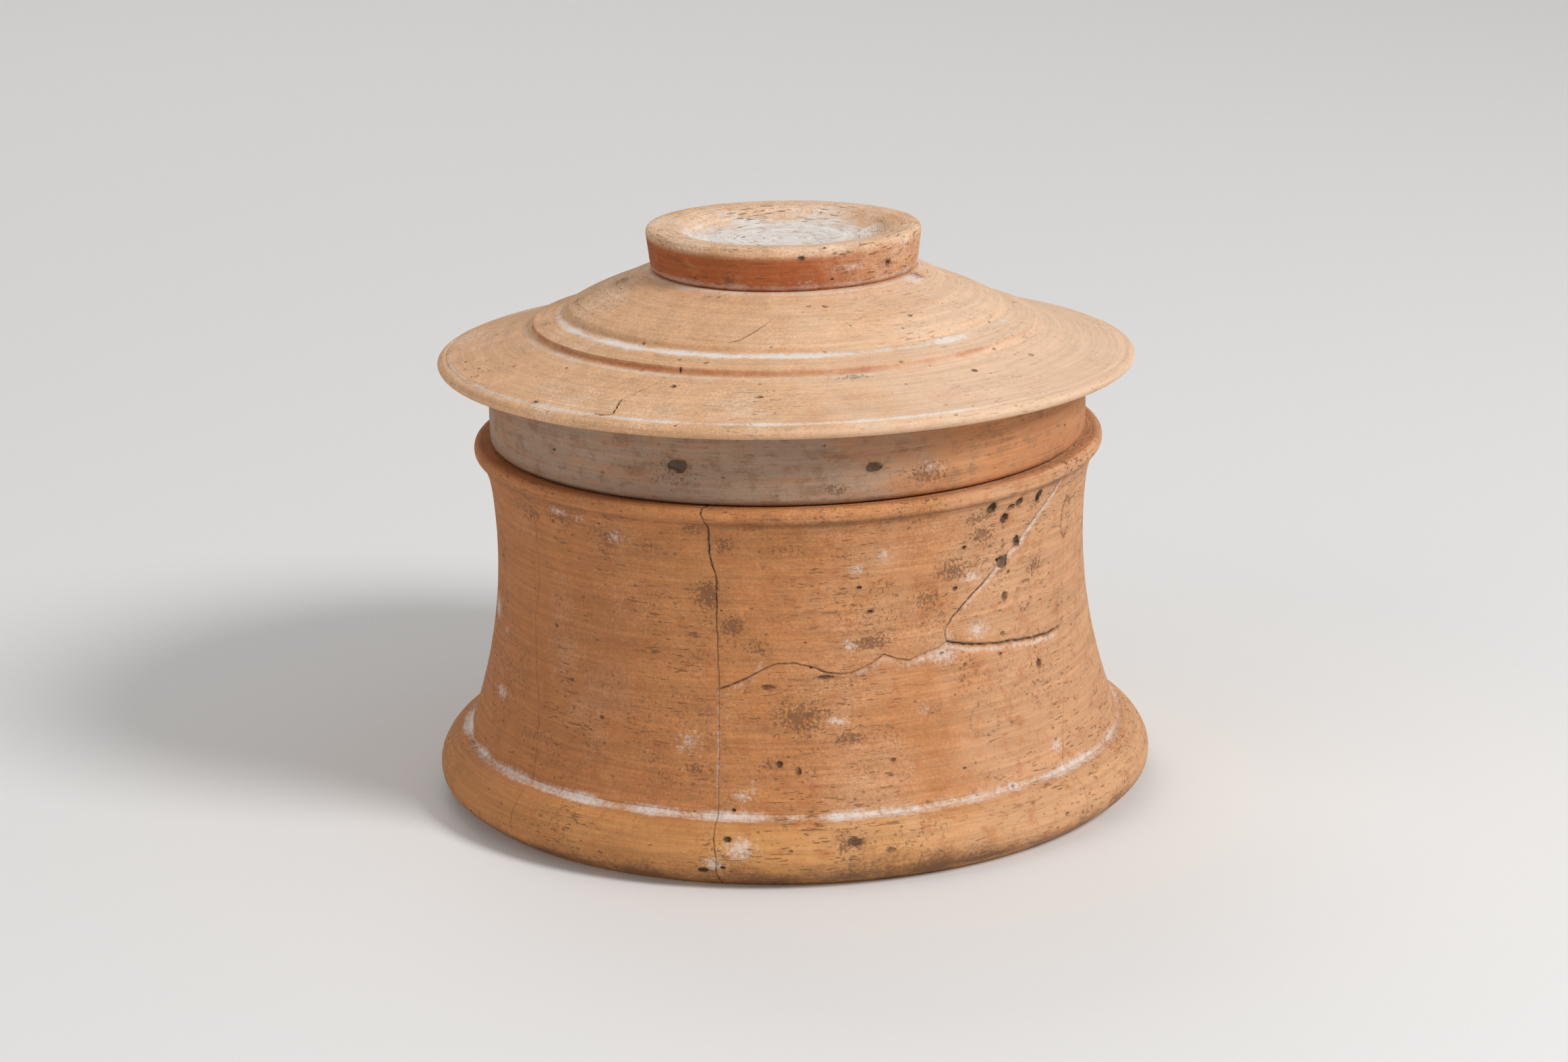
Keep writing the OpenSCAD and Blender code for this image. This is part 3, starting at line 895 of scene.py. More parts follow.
# How far the lid has sunk towards its back, in mm, the direction of the lowest place, and the
# radius within which it sank less, as the knob stiffens it
SUNK, SUNK_AT, STIFF_R = 2.4, 160.0, 24.5


def settle(obj):
    """Lets the lid and its knob sag a little at the back right, as they did in the kiln."""
    points = points_of(obj.data).astype(float)
    x, y, z = points.T / MM
    a = np.degrees(np.arctan2(x, -y))
    way = ((1 + np.cos(np.radians(a - SUNK_AT))) / 2) ** 1.3
    r = np.hypot(x, y)
    reach = np.clip((r - STIFF_R) / 7.0, 0, 1)
    reach = 0.45 + 0.55 * reach * reach * (3 - 2 * reach)
    # The way round has no meaning at the axis, so the sag is even there
    even = np.clip(r / STIFF_R, 0, 1)
    way = way * even + 0.42 * (1 - even)
    rise = np.clip((z - 74) / 8, 0, 1)
    points[:, 2] -= SUNK * way * reach * rise * MM
    obj.data.vertices.foreach_set("co", points.astype(np.float32).ravel())
    obj.data.update()


# Marks on the surface: kind, angle from the front in degrees, radius, height, and half
# width round the pot and half height up it in mm, strength
MARKS = (
    ("spot", 39.2, 56.2, 62.5, 1.9, 1.8, 1.0), ("spot", 43.2, 55.4, 59.7, 1.7, 1.6, 1.0),
    ("spot", 46.4, 56.0, 62.2, 1.5, 1.4, 0.9), ("spot", 44.4, 56.0, 61.5, 1.6, 1.0, 0.8),
    ("spot", 52.2, 56.0, 62.1, 1.3, 2.3, 1.0), ("spot", 47.2, 54.6, 54.5, 1.5, 1.9, 0.85),
    ("spot", 43.4, 54.4, 51.7, 2.3, 2.6, 0.7), ("spot", 44.2, 54.3, 45.0, 1.3, 1.5, 0.6),
    ("spot", 33.8, 54.8, 55.9, 0.8, 0.6, 1.0), ("spot", 32.0, 54.3, 48.7, 0.8, 0.6, 1.0),
    ("spot", 12.5, 54.4, 51.3, 0.8, 0.5, 1.0), ("spot", 14.5, 54.4, 46.7, 1.0, 0.6, 0.9),
    ("spot", 45.2, 54.3, 49.3, 0.6, 0.6, 0.9), ("spot", -2.8, 57.7, 20.8, 1.2, 1.1, 0.75),
    ("spot", 0.5, 58.1, 19.5, 0.9, 1.2, 0.6), ("spot", -10.8, 64.8, 9.3, 1.1, 0.9, 1.0),
    ("spot", -10.5, 60.1, 13.1, 0.7, 0.5, 0.9), ("spot", 52.8, 55.5, 30.8, 1.5, 1.3, 0.65),
    ("spot", 5.8, 54.9, 35.6, 2.8, 0.6, 0.8), ("spot", -4.8, 55.1, 34.0, 2.2, 1.0, 0.5),
    ("spot", -14.4, 65.8, 4.0, 1.8, 0.9, 0.9), ("spot", -11.4, 66.1, 4.6, 1.0, 0.6, 0.8),
    ("spot", 8.8, 65.3, 8.6, 2.4, 1.4, 0.55), ("spot", 14.3, 66.2, 6.8, 1.5, 1.0, 0.5),
    ("smudge", 36.5, 55.3, 61.0, 5.0, 1.8, 0.85), ("smudge", 37.8, 54.9, 57.5, 4.2, 1.9, 0.9),
    ("smudge", 31.5, 54.5, 52.0, 5.0, 3.0, 0.9), ("smudge", 26.3, 54.3, 47.7, 5.0, 3.2, 0.75),
    ("smudge", 53.0, 54.3, 48.8, 3.4, 2.6, 0.8), ("smudge", 14.6, 54.4, 41.2, 4.6, 1.8, 1.0),
    ("smudge", -15.8, 54.4, 50.3, 3.2, 3.4, 1.0), ("smudge", -11.2, 54.3, 45.0, 2.8, 2.4, 1.0),
    ("smudge", -12.0, 55.3, 59.7, 2.6, 2.0, 0.9), ("smudge", -17.8, 56.4, 62.8, 3.0, 1.6, 0.8),
    ("smudge", 1.0, 55.9, 28.8, 7.0, 4.5, 0.85), ("smudge", 10.0, 56.7, 24.7, 3.6, 1.6, 0.9),
    ("smudge", -5.0, 57.7, 20.7, 2.6, 1.8, 0.7), ("smudge", 26.0, 56.1, 27.8, 3.6, 1.5, 0.6),
    ("smudge", 30.0, 54.6, 36.0, 3.0, 1.6, 0.5), ("smudge", 8.5, 65.3, 8.5, 4.4, 2.2, 0.8),
    ("smudge", -22.0, 58.6, 17.5, 9.0, 4.0, 0.5), ("smudge", -47.0, 55.9, 61.2, 7.0, 2.4, 0.7),
    ("lime", -19.5, 56.8, 24.0, 4.5, 4.2, 0.6), ("smudge", -17.2, 57.9, 19.6, 4.0, 1.6, 0.8),
    ("smudge", -36.0, 55.6, 59.6, 7.0, 2.6, 0.68), ("smudge", -27.0, 55.4, 58.8, 5.5, 2.2, 0.62),
    ("smudge", -57.0, 55.6, 60.5, 5.0, 2.6, 0.6), ("smudge", -1.0, 55.3, 59.0, 8.0, 2.4, 0.58),
    ("smudge", 10.5, 55.0, 57.2, 6.0, 1.8, 0.55), ("smudge", -6.6, 54.4, 41.0, 4.2, 3.0, 0.66),
    ("smudge", 62.0, 54.6, 40.0, 3.0, 7.0, 0.5), ("smudge", 70.0, 55.0, 34.0, 5.0, 5.0, 0.5),
    ("ring", 49.8, 54.3, 44.0, 2.4, 2.9, 0.85), ("ring", 65.5, 54.6, 54.9, 2.2, 4.2, 0.92),
    ("ring", 36.5, 56.8, 24.3, 3.6, 3.4, 0.66), ("ring", 35.0, 54.4, 40.6, 3.4, 2.4, 0.5),
    ("lime", 17.0, 54.8, 56.6, 1.8, 1.6, 0.8), ("lime", 12.0, 54.6, 54.7, 2.2, 1.3, 0.8),
    ("lime", 10.5, 54.4, 41.0, 2.0, 1.6, 0.8), ("lime", 37.2, 54.5, 40.2, 3.4, 2.2, 0.9),
    ("lime", 35.8, 54.4, 50.0, 3.0, 1.6, 0.8), ("lime", 29.0, 54.7, 37.0, 4.0, 2.0, 0.9),
    ("lime", 7.8, 56.1, 27.7, 3.4, 1.1, 0.8), ("lime", 24.4, 56.0, 28.2, 1.6, 2.0, 0.7),
    ("lime", -6.4, 54.7, 37.6, 2.4, 1.4, 0.6), ("lime", -9.2, 59.3, 15.4, 2.2, 1.6, 0.8),
    ("lime", -7.2, 59.0, 16.6, 1.0, 2.6, 0.7),
    ("lime", 53.0, 59.2, 15.7, 2.6, 2.2, 0.8), ("lime", -8.8, 65.7, 8.0, 3.8, 2.4, 1.0),
    ("lime", -12.8, 66.2, 5.2, 2.6, 1.5, 1.0), ("lime", -47.0, 56.1, 62.3, 3.2, 1.4, 0.8),
    ("lime", -41.8, 56.0, 61.9, 2.6, 1.2, 0.7), ("lime", -34.0, 55.2, 59.5, 3.0, 1.6, 0.7),
    ("spot", -20.5, 54.9, 73.5, 3.2, 2.0, 0.75), ("spot", 15.5, 54.9, 72.8, 2.6, 1.5, 0.8),
    ("smudge", 8.0, 54.9, 69.4, 3.4, 1.2, 0.9), ("smudge", 26.0, 54.9, 70.6, 5.0, 2.4, 0.9),
    ("lime", 27.0, 54.9, 71.5, 4.6, 2.4, 0.6), ("smudge", -22.0, 54.9, 72.0, 9.0, 4.0, 0.6),
    ("smudge", 14.5, 47.9, 87.5, 4.4, 0.9, 1.0), ("spot", 39.0, 35.2, 94.0, 0.9, 0.6, 1.0),
    ("spot", -22.8, 50.7, 86.5, 0.9, 0.8, 0.8), ("spot", -45.5, 61.6, 83.4, 1.0, 0.7, 0.9),
    ("spot", 40.5, 50.7, 86.5, 1.1, 0.9, 0.8), ("spot", 59.3, 50.7, 86.5, 1.2, 0.9, 0.7),
    ("spot", -5.2, 53.1, 85.7, 1.2, 0.7, 0.7), ("spot", -23.5, 46.4, 88.3, 0.5, 0.9, 0.8),
    ("lime", 64.0, 25.8, 96.8, 3.4, 2.4, 1.3), ("smudge", 69.0, 25.6, 97.0, 2.2, 1.6, 1.1),
    ("spot", 48.5, 24.8, 101.2, 1.0, 0.8, 1.0), ("smudge", 48.5, 24.8, 101.0, 2.2, 1.2, 0.8),
    ("spot", 7.0, 25.1, 103.9, 1.1, 0.8, 0.7), ("smudge", -23.8, 24.6, 99.8, 1.8, 1.2, 0.8),
    ("lime", 30.0, 24.8, 101.5, 5.0, 1.2, 0.7), ("lime", 8.0, 24.7, 99.2, 3.0, 0.9, 0.6),
    ("lime", 61.0, 25.1, 104.0, 2.4, 1.4, 0.8),
)
# A stain's ragged edge lies well inside its field, so the fields reach further than the stains show
MARK_REACH = {"spot": 1.2, "smudge": 1.6, "ring": 1.6, "lime": 1.5}


# How many marks lie on the sides and the back, the share of them that lies on the lid, and
# the height of the lid's top at some radii
MARKS_BEHIND, ON_LID = 46, 0.35
LID_TOP = ((25, 40, 47, 62), (97.5, 91.6, 87.8, 83.4))


def marks_behind():
    """Seeded marks for the sides and the back, as plain as those in front."""
    rng = np.random.default_rng(21)
    wall = in_mm(bpy.context.scene.pyxis_wall)
    marks = []
    for _ in range(MARKS_BEHIND):
        kind = rng.choice(["smudge", "smudge", "lime"])
        degrees, size = rng.uniform(78, 300), rng.uniform(1.2, 4.5)
        height, radius = rng.uniform(14, 62), rng.uniform(28, 61)
        if rng.random() < ON_LID:
            height = np.interp(radius, *LID_TOP)
        else:
            radius = wall_r(wall, height)
        high, strength = size * rng.uniform(0.4, 0.8), rng.uniform(0.6, 1)
        marks.append((kind, degrees, radius, height, size, high, strength))
    return marks


def mark_fields(points):
    """For each kind of mark, a field that is 1 in the middle of the mark and 0 outside it."""
    fields = {kind: np.zeros(len(points)) for kind in ("spot", "smudge", "lime")}
    for kind, degrees, radius, height, wide, high, strength in (*MARKS, *marks_behind()):
        a = math.radians(degrees)
        middle = np.array([radius * math.sin(a), -radius * math.cos(a), height])
        near = np.where(np.linalg.norm(points - middle, axis=1) < 2.5 * max(wide, high) + 1.0)[0]
        if not len(near):
            continue
        gap = points[near] - middle
        along = gap @ np.array([math.cos(a), math.sin(a), 0.0])
        rest = np.sqrt(np.maximum((gap ** 2).sum(axis=1) - along ** 2, 0))
        reach = MARK_REACH[kind]
        away = np.hypot(along / (wide * reach), rest / (high * reach))
        value = 1 - away
        if kind == "ring":
            # Strongest a little past half way out
            value = 0.9 - np.abs(away - 0.55) / 0.22
        target = fields["smudge" if kind == "ring" else kind]
        target[near] = np.maximum(target[near], np.clip(value, 0, 1) * strength)
    return fields


# How dark each break shows along its length: height or angle, and darkness
DARK = {
    "centre": ((-5, 0.5), (4, 0.55), (12, 0.35), (20, 0.1), (33, 0.25), (44, 0.45), (52, 0.8), (58, 1.0),
               (90, 1.0)),
    "level": ((-14, 0.9), (-8, 0.9), (-4, 0.45), (2, 0.7), (5, 0.9), (8, 0.5), (11, 0.2), (14, 0.55),
              (21, 0.6), (25, 0.25), (29.8, 0.3)),
    "curve": ((29.8, 1.0), (45, 0.95), (58, 0.9), (62, 0.45), (66, 0.15)),
    "slant": ((39.5, 0.35), (42, 0.6), (44, 0.95), (48, 0.95), (50, 0.35), (53, 0.2), (56, 0.35), (60, 0.8),
              (66, 0.6), (90, 0.5)),
    "left": ((-5, 0.2), (90, 0.2)),
    "right": ((-5, 0.18), (30, 0.1), (90, 0.22)),
}


# How much pale filling lies beside a break along its length: height or angle, and amount. Under the curved
# part of the level break the pale band is a painted highlight on the edge of the lower sherd.
FILL = {
    "centre": ((12, 0.5), (18, 0.9), (24, 0.9), (31, 0.8), (36, 0.3), (45, 0.25), (52, 0)),
    "level": ((-14, 0.5), (-8, 0.6), (-2, 0.1), (8, 0.3), (12, 0.6), (18, 0.6), (24, 0.8), (30, 1),
              (45, 0.8), (58, 1), (64, 0.3)),
    "slant": ((38, 0.8), (42, 0.5), (50, 0.9), (56, 1), (62, 0.9), (66, 0.3)),
}
# Half widths in mm of the dark line of an upright, a curved and a level break
LINE_UPRIGHT, LINE_CURVE, LINE_LEVEL = 0.30, 0.42, 0.29


def along_break(table, kind, along):
    """A table's value at places along a break."""
    return np.interp(along, *np.array(table[kind], float).T)


def faded(gap, reach):
    """1 at a break and 0 from its reach on."""
    return np.clip(1 - np.abs(gap) / reach, 0, 1)


def break_fields(points):
    """The dark line of each break, and the pale filling beside it, which under the curved break is a painted
    highlight.
    """
    x, y, z = points.T
    degrees = np.degrees(np.arctan2(x, -y))
    per_degree = np.hypot(x, y) * math.pi / 180
    crack = np.zeros(len(points))
    fill = np.zeros(len(points))
    heights = np.linspace(0, 80, 81)
    for kind, line in (("centre", centre_at), ("slant", slant_at), ("left", left_at), ("right", right_at)):
        offset = (degrees - line(z)) * per_degree
        lean = np.gradient(line(heights))[np.clip(z, 0, 80).astype(int)] * per_degree
        gap = offset / np.sqrt(1 + lean ** 2)
        valid = z > level_at(degrees) - 0.3 if kind == "slant" else np.ones(len(z), bool)
        dark = along_break(DARK, kind, z) * faded(gap, LINE_UPRIGHT)
        crack = np.maximum(crack, np.where(valid, dark, 0))
        if kind == "slant":
            pale = faded(gap - 0.6, 1.4) * along_break(FILL, kind, z)
            fill = np.maximum(fill, np.where(valid, pale, 0))
        if kind == "centre":
            fill = np.maximum(fill, faded(offset, 0.8) * along_break(FILL, kind, z) * 0.8)
    offset = z - level_at(degrees)
    reach = (degrees > -14.2) & (degrees < 64.0)
    curved = degrees > CURVE_FROM
    dark = np.where(curved, along_break(DARK, "curve", degrees), along_break(DARK, "level", degrees))
    dark = dark * faded(offset, np.where(curved, LINE_CURVE, LINE_LEVEL))
    crack = np.maximum(crack, np.where(reach, dark, 0))
    # Pale band under the level break: filling, and under its curved part a painted highlight on the lower
    # sherd's edge
    pale = faded(offset + 0.9, np.where(curved, 1.1, 2.0)) * along_break(FILL, "level", degrees)
    fill = np.maximum(fill, np.where(reach, pale, 0))
    return {"crack": crack, "fill": fill}


# Materials

def group_tree(name, inputs, outputs):
    """A new shader group with its sockets, its node helper and its group input's outputs."""
    tree = bpy.data.node_groups.new(name, "ShaderNodeTree")
    n = Nodes(tree)
    for label, kind, default in inputs:
        n.socket(label, kind, default=default)
    for label, kind in outputs:
        n.socket(label, kind, out=True)
    return tree, n, n.add("NodeGroupInput").outputs


VECTOR, NUMBER, COLOUR = "NodeSocketVector", "NodeSocketFloat", "NodeSocketColor"


def smooth_step(n, value, low, high):
    """0 below low, 1 above high and smooth between."""
    return n.add("ShaderNodeMapRange", {"Value": value, "From Min": low, "From Max": high},
                 interpolation_type="SMOOTHSTEP").outputs["Result"]


def mix_colour(n, factor, first, second):
    """The first colour with the second laid over it by a factor."""
    return n.add("ShaderNodeMix", {"Factor": factor, 6: first, 7: second}, data_type="RGBA").outputs[2]


def scaled(n, vector, amount):
    """A vector or a colour times a number."""
    return n.add("ShaderNodeVectorMath", {0: vector, "Scale": amount}, operation="SCALE").outputs[0]


def millimetre_axes(n, vector):
    """Object coordinates in mm: x, y, z and the distance from the axis."""
    x, y, z = n.apart(scaled(n, vector, 1 / MM))
    r = n.math("SQRT", n.math("ADD", n.math("MULTIPLY", x, x), n.math("MULTIPLY", y, y)))
    return x, y, z, r


def noise_at(n, vector, scale, detail=2.0, rough=0.5):
    """Noise with features about 1 / scale mm wide. The scale is a number or a socket."""
    per_metre = scale / MM if isinstance(scale, float) else n.math("MULTIPLY", scale, 1 / MM)
    return n.add("ShaderNodeTexNoise", {"Vector": vector, "Scale": per_metre, "Detail": detail,
                                        "Roughness": rough}).outputs["Fac"]


def drifting(n, x, cloud, spread):
    """How far to the right a place lies, in mm, with its boundary blurred by clouds."""
    return n.math("ADD", x, n.math("MULTIPLY", n.math("SUBTRACT", cloud, 0.5), spread))


def wheel_streaks_group():
    """Long faint streaks and short dark dashes round the pot, as the wheel and a brush leave them."""
    tree, n, given = group_tree(
        "Wheel streaks",
        (("Vector", VECTOR, None), ("Lines per mm", NUMBER, 1.3), ("Seed", NUMBER, 0.0)),
        (("Streak", NUMBER), ("Dash", NUMBER)))
    x, y, z, r = millimetre_axes(n, given["Vector"])
    lines = given["Lines per mm"]

    def turned_noise(along, across_lines, detail):
        spot = n.add("ShaderNodeCombineXYZ", {0: n.math("MULTIPLY", x, along),
                                              1: n.math("MULTIPLY", y, along),
                                              2: n.math("MULTIPLY", z, across_lines)}).outputs[0]
        w = n.math("ADD", n.math("MULTIPLY", r, across_lines), given["Seed"])
        return n.add("ShaderNodeTexNoise", {"Vector": spot, "W": w, "Scale": 1.0, "Detail": detail,
                                            "Roughness": 0.62}, noise_dimensions="4D").outputs["Fac"]

    streak = turned_noise(0.05, lines, 3.0)
    dash = turned_noise(0.42, n.math("MULTIPLY", lines, 1.9), 1.0)
    n.add("NodeGroupOutput", {"Streak": smooth_step(n, streak, 0.32, 0.70),
                              "Dash": smooth_step(n, dash, 0.60, 0.69)})
    return tree


def clay_tones_group():
    """Fired clay in three tones, in broad clouds, small patches and a fine stipple."""
    tree, n, given = group_tree(
        "Clay tones",
        (("Vector", VECTOR, None), ("Clay", COLOUR, None), ("Pale", COLOUR, None), ("Red", COLOUR, None),
         ("Pale share", NUMBER, 0.5), ("Red share", NUMBER, 0.5)),
        (("Color", COLOUR), ("Stipple", NUMBER)))
    v = given["Vector"]
    clouds = noise_at(n, v, 0.045, 5.0, 0.6)
    patches = noise_at(n, v, 0.22, 4.0, 0.62)
    stipple = noise_at(n, v, 2.1, 3.0, 0.7)
    pale_low = n.math("SUBTRACT", 0.80, n.math("MULTIPLY", given["Pale share"], 0.55))
    red_low = n.math("SUBTRACT", 0.80, n.math("MULTIPLY", given["Red share"], 0.45))
    pale = smooth_step(n, n.math("ADD", n.math("MULTIPLY", clouds, 0.7), n.math("MULTIPLY", stipple, 0.3)),
                       pale_low, n.math("ADD", pale_low, 0.2))
    red = smooth_step(n, n.math("ADD", n.math("MULTIPLY", patches, 0.8), n.math("MULTIPLY", stipple, 0.2)),
                      red_low, n.math("ADD", red_low, 0.2))
    tone = mix_colour(n, pale, given["Clay"], given["Pale"])
    tone = mix_colour(n, n.math("MULTIPLY", red, 0.75), tone, given["Red"])
    shade = n.math("MULTIPLY", n.ranged(stipple, 0.25, 0.75, 0.78, 1.17),
                   n.ranged(patches, 0.3, 0.7, 1.09, 0.90))
    salt = smooth_step(n, noise_at(n, v, 2.9, 1.0), 0.63, 0.72)
    tone = mix_colour(n, n.math("MULTIPLY", salt, 0.30), tone, given["Pale"])
    n.add("NodeGroupOutput", {"Color": scaled(n, tone, shade), "Stipple": stipple})
    return tree


def specks_group():
    """Small dark grains and burnt-out dots, wider than they are high."""
    tree, n, given = group_tree(
        "Specks",
        (("Vector", VECTOR, None), ("Cell mm", NUMBER, 2.0), ("Share", NUMBER, 0.2), ("Size", NUMBER, 0.2)),
        (("Mask", NUMBER),))
    squeezed = n.add("ShaderNodeVectorMath", {0: given["Vector"], 1: (1.0, 1.0, 1.7)}, operation="MULTIPLY")
    wobble = n.add("ShaderNodeTexNoise", {"Vector": squeezed.outputs[0], "Scale": 1.6 / MM, "Detail": 1.0})
    bent = n.add("ShaderNodeVectorMath", {0: wobble.outputs["Color"], 1: (0.0006, 0.0006, 0.0006),
                                          2: squeezed.outputs[0]}, operation="MULTIPLY_ADD")
    cells = n.add("ShaderNodeTexVoronoi", {"Vector": bent.outputs[0],
                                           "Scale": n.math("DIVIDE", 1 / MM, given["Cell mm"])})
    chance = n.add("ShaderNodeSeparateColor", {0: cells.outputs["Color"]}).outputs
    chosen = n.math("LESS_THAN", chance[0], given["Share"])
    reach = n.math("MULTIPLY", given["Size"], n.math("ADD", 0.35, n.math("MULTIPLY", chance[1], 0.9)))
    near = n.ranged(cells.outputs["Distance"], n.math("MULTIPLY", reach, 0.65), reach, 1.0, 0.0)
    n.add("NodeGroupOutput", {"Mask": n.math("MULTIPLY", near, chosen)})
    return tree


def ring_deposit_and_shade_group():
    """A ragged band round the pot: lime that stayed in a corner or groove, and the same band used as a line
    of painted shade.
    """
    tree, n, given = group_tree(
        "Ring deposit",
        (("Vector", VECTOR, None), ("Radius", NUMBER, 60.0), ("Height", NUMBER, 12.0),
         ("Width", NUMBER, 1.0), ("Amount", NUMBER, 0.8), ("Ragged", NUMBER, 1.0)),
        (("Mask", NUMBER),))
    _, _, z, r = millimetre_axes(n, given["Vector"])
    dr = n.math("SUBTRACT", r, given["Radius"])
    dz = n.math("SUBTRACT", z, given["Height"])
    away = n.math("SQRT", n.math("ADD", n.math("MULTIPLY", dr, dr), n.math("MULTIPLY", dz, dz)))
    near = n.math("SUBTRACT", 1.0, n.math("DIVIDE", away, given["Width"]))
    broad = noise_at(n, given["Vector"], 0.09, 3.0, 0.6)
    fine = noise_at(n, given["Vector"], 1.3, 3.0, 0.65)
    torn = n.math("ADD", n.math("MULTIPLY", n.math("SUBTRACT", broad, 0.5), 2.6),
                  n.math("MULTIPLY", n.math("SUBTRACT", fine, 0.5), 1.6))
    ragged = n.math("ADD", near, n.math("MULTIPLY", torn, given["Ragged"]))
    mask = n.math("MULTIPLY", smooth_step(n, ragged, 0.0, 1.15), smooth_step(n, near, -0.35, 0.35))
    n.add("NodeGroupOutput", {"Mask": n.math("MULTIPLY", mask, given["Amount"])})
    return tree


def stain_group():
    """The ragged outline of a stain, from a field that is 1 at its middle and 0 outside."""
    tree, n, given = group_tree(
        "Stain",
        (("Vector", VECTOR, None), ("Field", NUMBER, 0.0), ("Edge", NUMBER, 0.35), ("Softness", NUMBER, 0.2),
         ("Ragged", NUMBER, 0.4), ("Grain per mm", NUMBER, 1.2)),
        (("Mask", NUMBER),))
    torn = noise_at(n, given["Vector"], given["Grain per mm"], 3.0, 0.65)
    value = n.math("ADD", given["Field"], n.math("MULTIPLY", n.math("SUBTRACT", torn, 0.5), given["Ragged"]))
    inside = n.math("GREATER_THAN", given["Field"], 0.004)
    mask = smooth_step(n, value, given["Edge"], n.math("ADD", given["Edge"], given["Softness"]))
    n.add("NodeGroupOutput", {"Mask": n.math("MULTIPLY", mask, inside)})
    return tree


def bloom_group():
    """A thin haze of lime in clouds that break up into grains."""
    tree, n, given = group_tree(
        "Lime bloom",
        (("Vector", VECTOR, None), ("Patch per mm", NUMBER, 0.08), ("Share", NUMBER, 0.3)),
        (("Mask", NUMBER),))
    cloud = noise_at(n, given["Vector"], given["Patch per mm"], 4.0, 0.6)
    grains = noise_at(n, given["Vector"], 2.6, 2.0, 0.6)
    low = n.math("SUBTRACT", 0.78, n.math("MULTIPLY", given["Share"], 0.4))
    patch = smooth_step(n, cloud, low, n.math("ADD", low, 0.16))
    n.add("NodeGroupOutput", {"Mask": n.math("MULTIPLY", patch, smooth_step(n, grains, 0.40, 0.66))})
    return tree


GROUPS = {"Wheel streaks": wheel_streaks_group, "Clay tones": clay_tones_group, "Specks": specks_group,
          "Ring deposit": ring_deposit_and_shade_group, "Stain": stain_group, "Lime bloom": bloom_group}


def use_group(n, name, inputs):
    """Places a shared group in a material, building it the first time."""
    tree = bpy.data.node_groups.get(name) or GROUPS[name]()
    return n.add("ShaderNodeGroup", inputs, node_tree=tree).outputs


